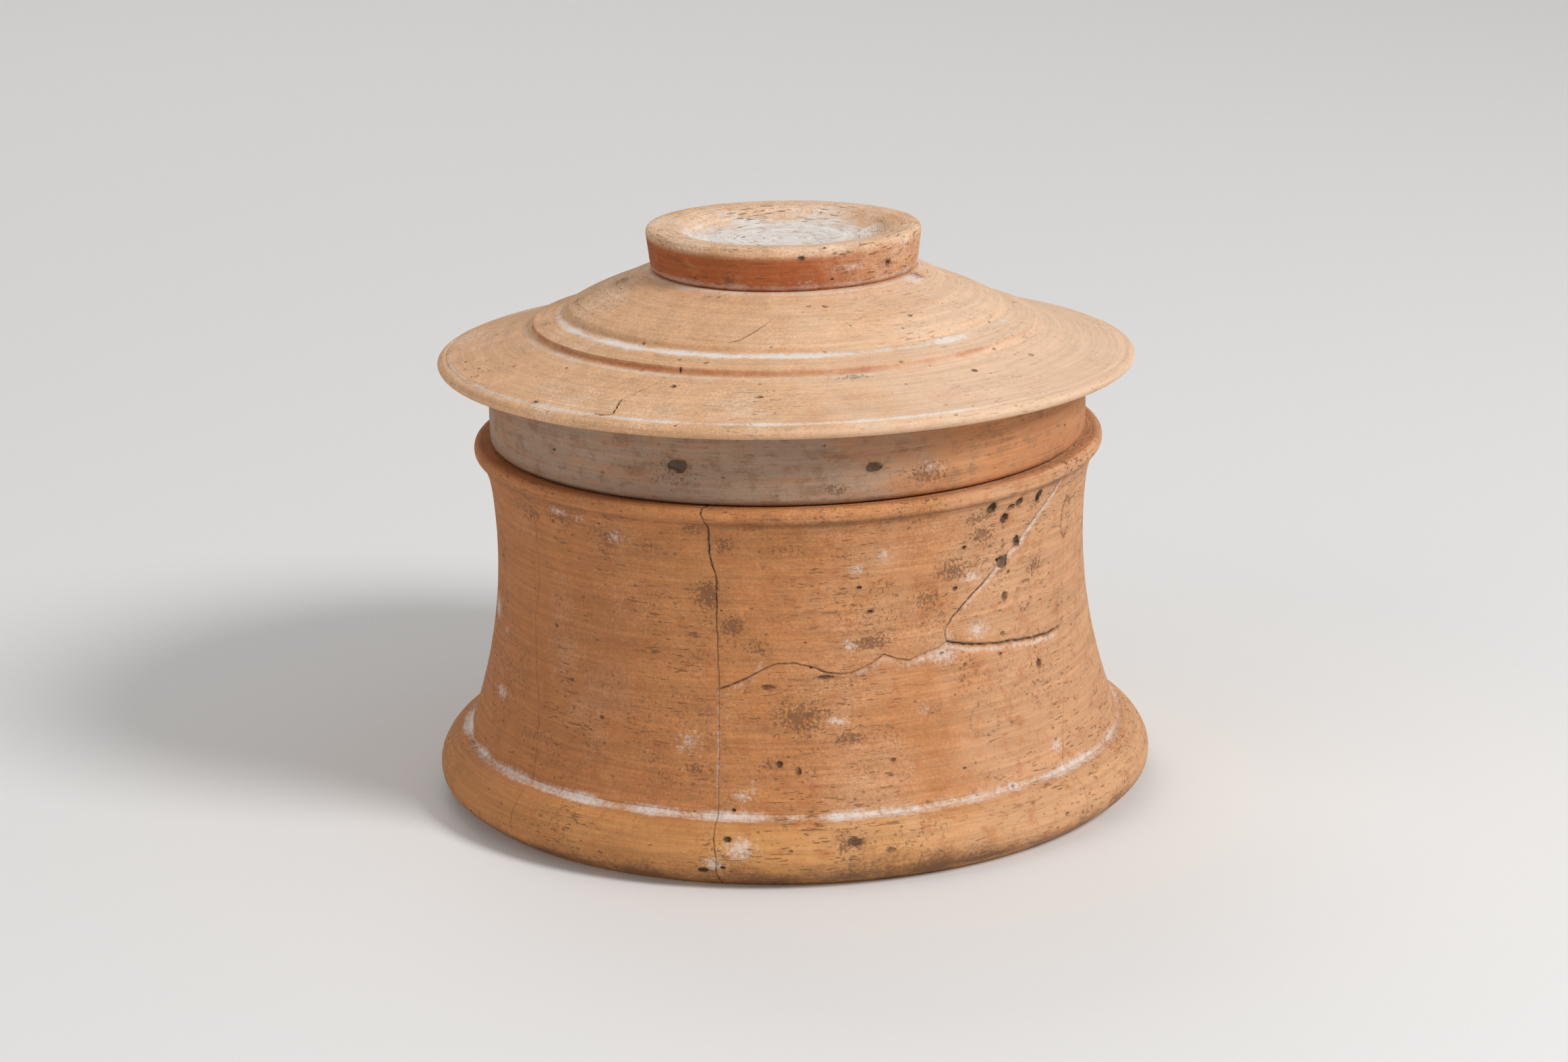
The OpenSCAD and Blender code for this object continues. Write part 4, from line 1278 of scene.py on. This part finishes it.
def fired_clay(name, look, regions=None):
    """The finish of one piece: look holds its colours and shares, and regions may repaint parts of it."""
    material = bpy.data.materials.new(name)
    material.use_nodes = True
    n = Nodes(material.node_tree)
    shader = material.node_tree.nodes["Principled BSDF"]
    place = n.add("ShaderNodeTexCoord").outputs["Object"]

    def field(attribute):
        node = n.add("ShaderNodeAttribute", attribute_name=attribute, attribute_type="GEOMETRY")
        return node.outputs["Fac"]

    def stain(attribute, edge, softness, ragged, grain):
        return use_group(n, "Stain", {"Vector": place, "Field": field(attribute), "Edge": edge,
                                      "Softness": softness, "Ragged": ragged, "Grain per mm": grain})["Mask"]

    def speckle(cell, share, size):
        return use_group(n, "Specks", {"Vector": place, "Cell mm": cell, "Share": share,
                                       "Size": size})["Mask"]

    def haze(scale, detail, rough, low, high):
        return smooth_step(n, noise_at(n, place, scale, detail, rough), low, high)

    def lay(tone, mask, share, over):
        return mix_colour(n, n.math("MULTIPLY", mask, share), tone, over)

    def ring(values, ragged=1.0):
        radius, height, width, amount = values
        return use_group(n, "Ring deposit", {"Vector": place, "Radius": radius, "Height": height,
                                             "Width": width, "Amount": amount, "Ragged": ragged})["Mask"]

    # Clay, what the piece repaints, and the streaks of the wheel
    tones = use_group(n, "Clay tones", {"Vector": place, "Clay": look.clay, "Pale": look.pale,
                                        "Red": look.red, "Pale share": look.pale_share,
                                        "Red share": look.red_share})
    tone = tones["Color"]
    if regions:
        tone = regions(n, place, tone)
    streaks = use_group(n, "Wheel streaks", {"Vector": place, "Lines per mm": look.lines, "Seed": look.seed})
    tone = scaled(n, tone, n.ranged(streaks["Streak"], 0.0, 1.0, 1.0 - look.streak, 1.0 + 0.6 * look.streak))
    # Dashes, specks and freckles crowd in clouds
    crowd = haze(0.055, 3.0, 0.6, 0.38, 0.62)
    dashes = n.math("MULTIPLY", streaks["Dash"], n.math("MULTIPLY", crowd, look.dash))
    tone = mix_colour(n, dashes, tone, look.brown)
    share = n.math("MULTIPLY", n.math("ADD", 0.35, n.math("MULTIPLY", crowd, 1.5)), look.speck)
    specks = speckle(2.3, share, 0.21)
    grains = speckle(1.1, share, 0.22)
    dots = speckle(7.0, 0.30, 0.06)
    tone = lay(tone, haze(0.33, 4.0, 0.68, 0.50, 0.68), 0.42 * look.mottle, look.red)
    cluster = haze(0.085, 3.0, 0.6, 0.50, 0.64)
    freckles = n.math("MULTIPLY", haze(1.35, 3.0, 0.7, 0.54, 0.64), cluster)
    tone = lay(tone, freckles, 0.62 * look.mottle, look.brown)
    tone = lay(tone, specks, 0.62, look.brown)
    tone = lay(tone, grains, 0.45, look.brown)
    tone = lay(tone, dots, 0.9, look.soot)
    # Dark lines, mostly painted shade under the steps, the lip and the foot, then smudges, lime, spots and
    # breaks
    for values in look.shadows:
        tone = lay(tone, ring(values, look.torn), 1.0, look.line)
    tone = lay(tone, n.math("MULTIPLY", field("smudge"), haze(0.7, 3.0, 0.7, 0.30, 0.70)), 0.36, look.brown)
    tone = lay(tone, stain("smudge", 0.56, 0.13, 2.1, 1.8), 0.72, look.brown)
    bloom = use_group(n, "Lime bloom", {"Vector": place, "Patch per mm": 0.07, "Share": look.bloom})["Mask"]
    lime = n.math("MULTIPLY", bloom, 0.38)
    for values in look.rings:
        lime = n.math("MAXIMUM", lime, ring(values))
    lime = n.math("MAXIMUM", lime, n.math("MULTIPLY", stain("lime", 0.34, 0.60, 1.6, 1.5), 0.50))
    # The fill field is pale filling beside the breaks, and under the curved break a painted highlight
    lime = n.math("MAXIMUM", lime, n.math("MULTIPLY", stain("fill", 0.34, 0.80, 1.4, 1.1), 0.48))
    tone = mix_colour(n, lime, tone, look.lime)
    tone = lay(tone, stain("spot", 0.10, 0.50, 1.2, 1.7), 0.55, look.brown)
    tone = lay(tone, stain("spot", 0.42, 0.30, 1.0, 2.4), 0.66, look.soot)
    broken = haze(0.9, 4.0, 0.7, 0.34, 0.56)
    crack = n.math("MULTIPLY", field("crack"), n.math("ADD", 0.42, n.math("MULTIPLY", broken, 0.75)))
    crack = n.math("MINIMUM", crack, 1.0)
    hollow = smooth_step(n, field("depth"), 0.02, 0.34)
    tone = lay(tone, n.math("MAXIMUM", crack, n.math("MULTIPLY", hollow, 0.66)), 1.0, look.soot)
    n.tree.links.new(tone, shader.inputs["Base Color"])
    # Matt clay, rougher where lime lies on it
    chalky = n.math("ADD", tones["Stipple"], n.math("MULTIPLY", lime, 0.6))
    rough = n.ranged(chalky, 0.3, 1.0, look.rough - 0.08, look.rough + 0.14)
    n.tree.links.new(rough, shader.inputs["Roughness"])
    shader.inputs["Specular IOR Level"].default_value = 0.35
    # Fine relief, as heights in mm when the look's relief is 1
    grain = noise_at(n, place, 1.7, 4.0, 0.65)
    relief = n.math("ADD", n.math("MULTIPLY", grain, 0.10), n.math("MULTIPLY", streaks["Streak"], 0.045))
    relief = n.math("ADD", relief, n.math("MULTIPLY", noise_at(n, place, 0.28, 2.0, 0.5), 0.26))
    relief = n.math("SUBTRACT", relief, n.math("MULTIPLY", n.math("MAXIMUM", dashes, dots), 0.06))
    relief = n.math("ADD", relief, n.math("MULTIPLY", lime, 0.04))
    bump = n.add("ShaderNodeBump", {"Strength": 1.0, "Distance": look.relief * MM, "Height": relief})
    n.tree.links.new(bump.outputs["Normal"], shader.inputs["Normal"])
    return material


def look_of(finish, **changes):
    """The colours and shares of a finish, with what differs on one piece.

    rings are deposits of lime and shadows are dark lines, mostly painted shade under steps, the lip and
    the foot, each with its radius, height and half width in mm and its strength."""
    look = SimpleNamespace(
        clay=finish.wall_clay, pale=finish.wall_pale, red=finish.wall_red, brown=finish.dirt_and_shade,
        soot=finish.soot, lime=finish.deposit, line=finish.wall_red, pale_share=0.5, red_share=0.5,
        lines=1.3, streak=0.10, dash=0.55, speck=0.22, mottle=0.6, bloom=0.12, torn=1.0, rings=(),
        shadows=(), rough=0.78, relief=1.0, seed=0.0)
    for key, value in changes.items():
        setattr(look, key, value)
    return look


def wall_material(finish, s):
    """The wall: paler to the right and redder to the left and inside, with a yellower foot."""
    # Yellower at the foot, paler to the right, redder to the left and redder inside the collar
    def wall_regions(n, place, tone):
        x, _, z, r = millimetre_axes(n, place)
        cloud = noise_at(n, place, 0.06, 4.0, 0.6)
        drift = drifting(n, x, cloud, 90.0)
        foot = smooth_step(n, z, s.groove_z + 1.5, s.groove_z - 1.5)
        tone = mix_colour(n, n.math("MULTIPLY", foot, 0.75), tone, finish.foot_clay)
        pale = n.math("MULTIPLY", smooth_step(n, drift, 0.0, 48.0), 0.68)
        tone = mix_colour(n, pale, tone, finish.wall_pale)
        red = n.math("MULTIPLY", smooth_step(n, drift, -10.0, -50.0), 0.45)
        tone = mix_colour(n, red, tone, finish.wall_red)
        within = smooth_step(n, r, s.collar_r + 1.0, s.collar_r - 3.0)
        stained = n.math("ADD", 0.25, n.math("MULTIPLY", smooth_step(n, cloud, 0.40, 0.65), 0.45))
        return mix_colour(n, n.math("MULTIPLY", within, stained), tone, finish.wall_red)

    # Painted shade under the curve of the foot, a painted cast shadow under the lip, and a dark line in the
    # corner where the ledge meets the collar
    shadows = ((s.foot_r - 1.5, 1.4, 4.7, 0.85), (s.lip_r - 0.9, s.lip_z - s.lip_band - 0.5, 1.3, 0.50),
               (s.collar_r + 0.5, s.lip_z - s.ledge_dish + 0.2, 1.2, 0.55))
    # The ring in the groove between wall and foot is partly lime and partly a painted highlight along the
    # groove
    return fired_clay("wall_clay", look_of(
        finish, rings=((s.groove_r + 0.1, s.groove_z + 0.5, 1.35, 0.75),), shadows=shadows,
        line=finish.dirt_and_shade, mottle=1.15, relief=1.35, streak=0.15, dash=0.76, speck=0.40,
        bloom=0.22), wall_regions)


def floor_material(finish):
    """The floor: paler, with more lime on it."""
    return fired_clay("floor_clay", look_of(finish, bloom=0.35, speck=0.15, pale_share=0.7))


def lid_material(finish, s):
    """The lid: pale on top, lime in its steps, painted shade under its risers, and a grey bloom on the skirt
    that is worn to the right.
    """
    low_step_z, high_step_z = step_heights(s)
    rings = ((s.high_step_r + 1.2, high_step_z - 0.1, 1.25, 0.85),
             (s.low_step_r + 1.2, low_step_z - 0.1, 0.9, 0.3),
             (s.brim_r - 1.8, s.brim_z + 1.35, 0.6, 0.6), (s.knob_foot_r + 0.8, s.seat_z, 1.2, 0.35))
    # Painted shade under the risers of the upper and the lower step
    shadows = ((s.high_step_r + 0.2, high_step_z + 0.8, 0.85, 0.62),
               (s.low_step_r + 0.2, low_step_z + 0.6, 1.0, 0.95))

    def skirt(n, place, tone):
        x, _, z, _ = millimetre_axes(n, place)
        below = smooth_step(n, z, s.brim_z - 1.2, s.brim_z - 2.6)
        cloud = noise_at(n, place, 0.08, 4.0, 0.65)

        def brush(lines, seed, amount):
            group = use_group(n, "Wheel streaks", {"Vector": place, "Lines per mm": lines, "Seed": seed})
            return n.math("MULTIPLY", group["Streak"], amount)

        bare = smooth_step(n, n.math("ADD", x, n.math("MULTIPLY", cloud, 52.0)), 30.0, 62.0)
        grey = mix_colour(n, bare, finish.skirt_grey, finish.wall_clay)
        worn = smooth_step(n, n.math("ADD", cloud, brush(0.8, 20.0, 0.35)), 0.58, 0.88)
        grey = mix_colour(n, n.math("MULTIPLY", worn, 0.38), grey, finish.wall_red)
        patch = n.math("ADD", noise_at(n, place, 0.30, 4.0, 0.7), brush(2.2, 31.0, 0.16))
        dirty = n.math("MULTIPLY", smooth_step(n, patch, 0.56, 0.76), 0.50)
        grey = mix_colour(n, dirty, grey, finish.dirt_and_shade)
        pale = n.math("MULTIPLY", smooth_step(n, drifting(n, x, cloud, 80.0), -18.0, 34.0), 0.72)
        tone = mix_colour(n, pale, tone, finish.lid_pale)
        return mix_colour(n, n.math("MULTIPLY", below, 0.90), tone, grey)

    return fired_clay("lid_clay", look_of(
        finish, clay=finish.lid_clay, pale=finish.lid_pale, red=finish.lid_red, rings=rings,
        shadows=shadows, line=finish.knob_slip_and_step_shade, torn=0.35, mottle=0.35, streak=0.10, dash=0.40,
        speck=0.11, bloom=0.30, red_share=0.40, seed=3.0), skirt)


def knob_material(finish, s):
    """The knob: red slip on its side, worn to the right, and lime in its dish."""
    rings = ((s.knob_foot_r + 0.2, s.seat_z + 0.6, 0.9, 0.3),)

    def slip(n, place, tone):
        x, _, z, r = millimetre_axes(n, place)
        worn = noise_at(n, place, 0.16, 4.0, 0.65)
        fine = noise_at(n, place, 1.1, 3.0, 0.65)

        def torn(broad, narrow):
            return n.math("ADD", n.math("MULTIPLY", worn, broad), n.math("MULTIPLY", fine, narrow))

        side = n.math("MULTIPLY", smooth_step(n, z, s.total_h - 1.0, s.total_h - 2.6),
                      smooth_step(n, r, s.knob_foot_r - 1.5, s.knob_foot_r - 0.5))
        left = smooth_step(n, n.math("ADD", x, torn(26.0, 16.0)), 48.0, 24.0)
        red = n.math("MULTIPLY", side, n.math("ADD", 0.25, n.math("MULTIPLY", left, 0.72)))
        tone = mix_colour(n, red, tone, finish.knob_slip_and_step_shade)
        centred = n.math("ADD", r, torn(22.0, 8.0))
        white = n.math("MULTIPLY", smooth_step(n, centred, s.dish_r + 17.0, s.dish_r + 6.0),
                       smooth_step(n, z, s.total_h - 0.9, s.total_h - 1.7))
        tone = mix_colour(n, n.math("MULTIPLY", white, 0.92), tone, finish.deposit)
        veins = smooth_step(n, noise_at(n, place, 0.34, 4.0, 0.7), 0.53, 0.68)
        dirty = n.math("MULTIPLY", n.math("MULTIPLY", white, veins), 0.30)
        return mix_colour(n, dirty, tone, finish.dirt_and_shade)

    return fired_clay("knob_clay", look_of(
        finish, clay=finish.lid_clay, pale=finish.lid_pale, red=finish.lid_red, rings=rings, streak=0.12,
        pale_share=0.75, dash=0.8, speck=0.15, bloom=0.25, seed=8.0), slip)


# Operators

# Pits per square metre of each part
PITS = {"wall": 12000.0, "lid": 6000.0, "knob": 9000.0}


class PYXIS_OT_wall(bpy.types.Operator):
    """Builds the five sherds of the wall along their break lines"""

    bl_idname = "pyxis.wall"
    bl_label = "Wall sherds"

    def execute(self, context):
        s = in_mm(context.scene.pyxis_wall)
        clay = wall_material(context.scene.pyxis_finish, s)
        breaks = {"centre": centre_at, "slant": slant_at, "left": left_at, "right": right_at}
        for node, side, left, right in (
                ("left_front_sherd", "full", "left", "centre"),
                ("upper_front_sherd", "above", "centre", "slant"),
                ("lower_front_sherd", "below", "centre", "right"),
                ("right_upper_sherd", "above", "slant", "right"),
                ("back_sherd", "full", "right", "left")):
            made = sherd(node.replace("_sherd", "_wall"), s, side, (left, breaks[left]),
                         (right, breaks[right]), clay, 3.0)
            dig(made, clay, PITS["wall"], 3)
            finish_piece(made, BOX, node)
        return {"FINISHED"}


class PYXIS_OT_floor(bpy.types.Operator):
    """Builds the floor that broke out of the wall and was set back"""

    bl_idname = "pyxis.floor"
    bl_label = "Floor"

    def execute(self, context):
        s = in_mm(context.scene.pyxis_wall)
        clay = floor_material(context.scene.pyxis_finish)
        top = s.under_h + s.floor_t
        outline = joined(paced([[0, s.under_h], [FLOOR_BREAK_R, s.under_h]], 1.6),
                         paced([[FLOOR_BREAK_R, s.under_h], [FLOOR_BREAK_R, top]], 1.2),
                         paced([[FLOOR_BREAK_R, top], [0, top]], 0.8))
        grid, columns = full_turn("floor", outline, 288, clay, FLOOR_LINES, 7.0)
        radius = np.hypot(grid[..., 0], grid[..., 1])
        degrees = np.broadcast_to(columns[:, None] * 360 - 180, radius.shape)
        # The floor is round up to here, and its edge follows the break
        round_r = 34
        edge = np.clip((radius - round_r) / (FLOOR_BREAK_R - round_r), 0, 1)
        grid = on_pot(radius + edge * floor_break(degrees), degrees, grid[..., 2])
        grid[-1] = grid[0]
        made = close_mesh("floor", grid, clay)
        finish_piece(made, BOX, "floor_sherd")
        return {"FINISHED"}


class PYXIS_OT_lid(bpy.types.Operator):
    """Turns the lid with its dome, steps, brim and skirt"""

    bl_idname = "pyxis.lid"
    bl_label = "Lid"

    def execute(self, context):
        s = in_mm(context.scene.pyxis_lid)
        clay = lid_material(context.scene.pyxis_finish, s)
        made = lid_part("lid", lid_outline(s), 340, clay, 5.0)
        dig(made, clay, PITS["lid"], 5, lid_cracks)
        settle(made)
        finish_piece(made, LID, "lid_cover")
        return {"FINISHED"}


class PYXIS_OT_knob(bpy.types.Operator):
    """Turns the knob with its dished top"""

    bl_idname = "pyxis.knob"
    bl_label = "Knob"

    def execute(self, context):
        s = in_mm(context.scene.pyxis_lid)
        clay = knob_material(context.scene.pyxis_finish, s)
        made = lid_part("lid_knob", knob_outline(s), 360, clay, 9.0)
        dig(made, clay, PITS["knob"], 6)
        settle(made)
        finish_piece(made, LID, "knob")
        return {"FINISHED"}


# Stage

# The photograph's camera: focal length and image width in pixels, tilts in degrees, and the
# place it looks at, its distance and its sensor in mm
FOCAL_PX, WIDTH_PX = 6500.0, 2324.0
PITCH, ROLL = 15.5, -1.3
AIM = (-1.11, 0.0, 47.1)
AWAY = 814.1
SENSOR = 36.0
# Lamps: place and size in metres, and power in watts. They point at the middle of the box.
LAMPS = (("key", (0.95, -0.70, 0.95), 0.45, 16.0), ("fill", (-1.1, -0.9, 0.6), 1.2, 3.8),
         ("back", (-0.3, 1.1, 1.0), 0.9, 3.5))
LAMP_AIM = (0, 0, 0.05)
SKY_STRENGTH = 0.38
STAGE_COLOUR = (0.80, 0.79, 0.775, 1)


class PYXIS_OT_stage(bpy.types.Operator):
    """Sets up the camera, the lights, the floor and the backdrop"""

    bl_idname = "pyxis.stage"
    bl_label = "Stage"

    def execute(self, context):
        scene = context.scene
        data = bpy.data.cameras.new("camera")
        data.sensor_width = SENSOR
        data.lens = SENSOR * FOCAL_PX / WIDTH_PX
        data.clip_start, data.clip_end = 0.05, 30.0
        camera = bpy.data.objects.new("camera", data)
        scene.collection.objects.link(camera)
        pitch, roll = math.radians(PITCH), math.radians(ROLL)
        ahead = Vector((0, math.cos(pitch), -math.sin(pitch)))
        level, up = Vector((1, 0, 0)), Vector((0, math.sin(pitch), math.cos(pitch)))
        right = math.cos(roll) * level + math.sin(roll) * up
        over = -math.sin(roll) * level + math.cos(roll) * up
        place = Vector(AIM) * MM - ahead * AWAY * MM
        turn = Matrix((right, over, -ahead)).transposed()
        camera.matrix_world = Matrix.Translation(place) @ turn.to_4x4()
        scene.camera = camera
        self.lights(scene)
        self.backdrop()
        scene.view_settings.view_transform = "Standard"
        return {"FINISHED"}

    def lights(self, scene):
        """A soft key from the upper right, a broad fill from the left, a lamp behind and an even sky."""
        for name, place, size, power in LAMPS:
            data = bpy.data.lights.new(name, "AREA")
            data.shape = "DISK"
            data.size = size
            data.energy = power
            lamp = bpy.data.objects.new(name, data)
            scene.collection.objects.link(lamp)
            lamp.location = place
            aim = Vector(LAMP_AIM) - Vector(place)
            lamp.rotation_mode = "QUATERNION"
            lamp.rotation_quaternion = aim.to_track_quat("-Z", "Y")
        world = bpy.data.worlds.new("sky")
        world.use_nodes = True
        background = world.node_tree.nodes["Background"]
        background.inputs["Color"].default_value = (1.0, 1.0, 1.0, 1)
        background.inputs["Strength"].default_value = SKY_STRENGTH
        scene.world = world

    def backdrop(self):
        """A pale floor that sweeps up into a pale backdrop."""
        across_m, front, back, curve, top = 3.0, -2.0, 1.6, 0.6, 2.2
        bow = [(back + curve * math.sin(a), curve - curve * math.cos(a))
               for a in np.radians(np.linspace(0, 90, BEND_STEPS + 1))]
        line = [(front, 0.0), *bow, (back + curve, top)]
        verts = [(x, y, z) for x in (-across_m, across_m) for y, z in line]
        count = len(line)
        faces = [(i, i + count, i + count + 1, i + 1) for i in range(count - 1)]
        sweep = new_object("backdrop", verts, faces, 1.0)
        material = bpy.data.materials.new("backdrop")
        material.use_nodes = True
        shader = material.node_tree.nodes["Principled BSDF"]
        shader.inputs["Base Color"].default_value = STAGE_COLOUR
        shader.inputs["Roughness"].default_value = 0.9
        sweep.data.materials.append(material)
        sweep.data.shade_smooth()


class PYXIS_PT_panel(bpy.types.Panel):
    """Lists the pieces of the pyxis, its sizes and its colours"""

    bl_idname = "PYXIS_PT_panel"
    bl_label = "Clay pyxis"
    bl_space_type = "VIEW_3D"
    bl_region_type = "UI"
    bl_category = "Pyxis"

    def draw(self, context):
        layout = self.layout
        for operator in OPERATORS:
            layout.operator(operator.bl_idname)
        for group in (context.scene.pyxis_wall, context.scene.pyxis_lid, context.scene.pyxis_finish):
            box = layout.box()
            for key in group.__annotations__:
                box.prop(group, key)


OPERATORS = (PYXIS_OT_wall, PYXIS_OT_floor, PYXIS_OT_lid, PYXIS_OT_knob, PYXIS_OT_stage)
CLASSES = (PyxisWallSizes, PyxisLidSizes, PyxisFinish, *OPERATORS, PYXIS_PT_panel)


def register():
    for cls in CLASSES:
        bpy.utils.register_class(cls)
    bpy.types.Scene.pyxis_wall = PointerProperty(type=PyxisWallSizes)
    bpy.types.Scene.pyxis_lid = PointerProperty(type=PyxisLidSizes)
    bpy.types.Scene.pyxis_finish = PointerProperty(type=PyxisFinish)


def unregister():
    del bpy.types.Scene.pyxis_finish
    del bpy.types.Scene.pyxis_lid
    del bpy.types.Scene.pyxis_wall
    for cls in reversed(CLASSES):
        bpy.utils.unregister_class(cls)


def main():
    register()
    bpy.ops.pyxis.stage()
    bpy.ops.pyxis.wall()
    bpy.ops.pyxis.floor()
    bpy.ops.pyxis.lid()
    bpy.ops.pyxis.knob()


if __name__ == "__main__":
    main()
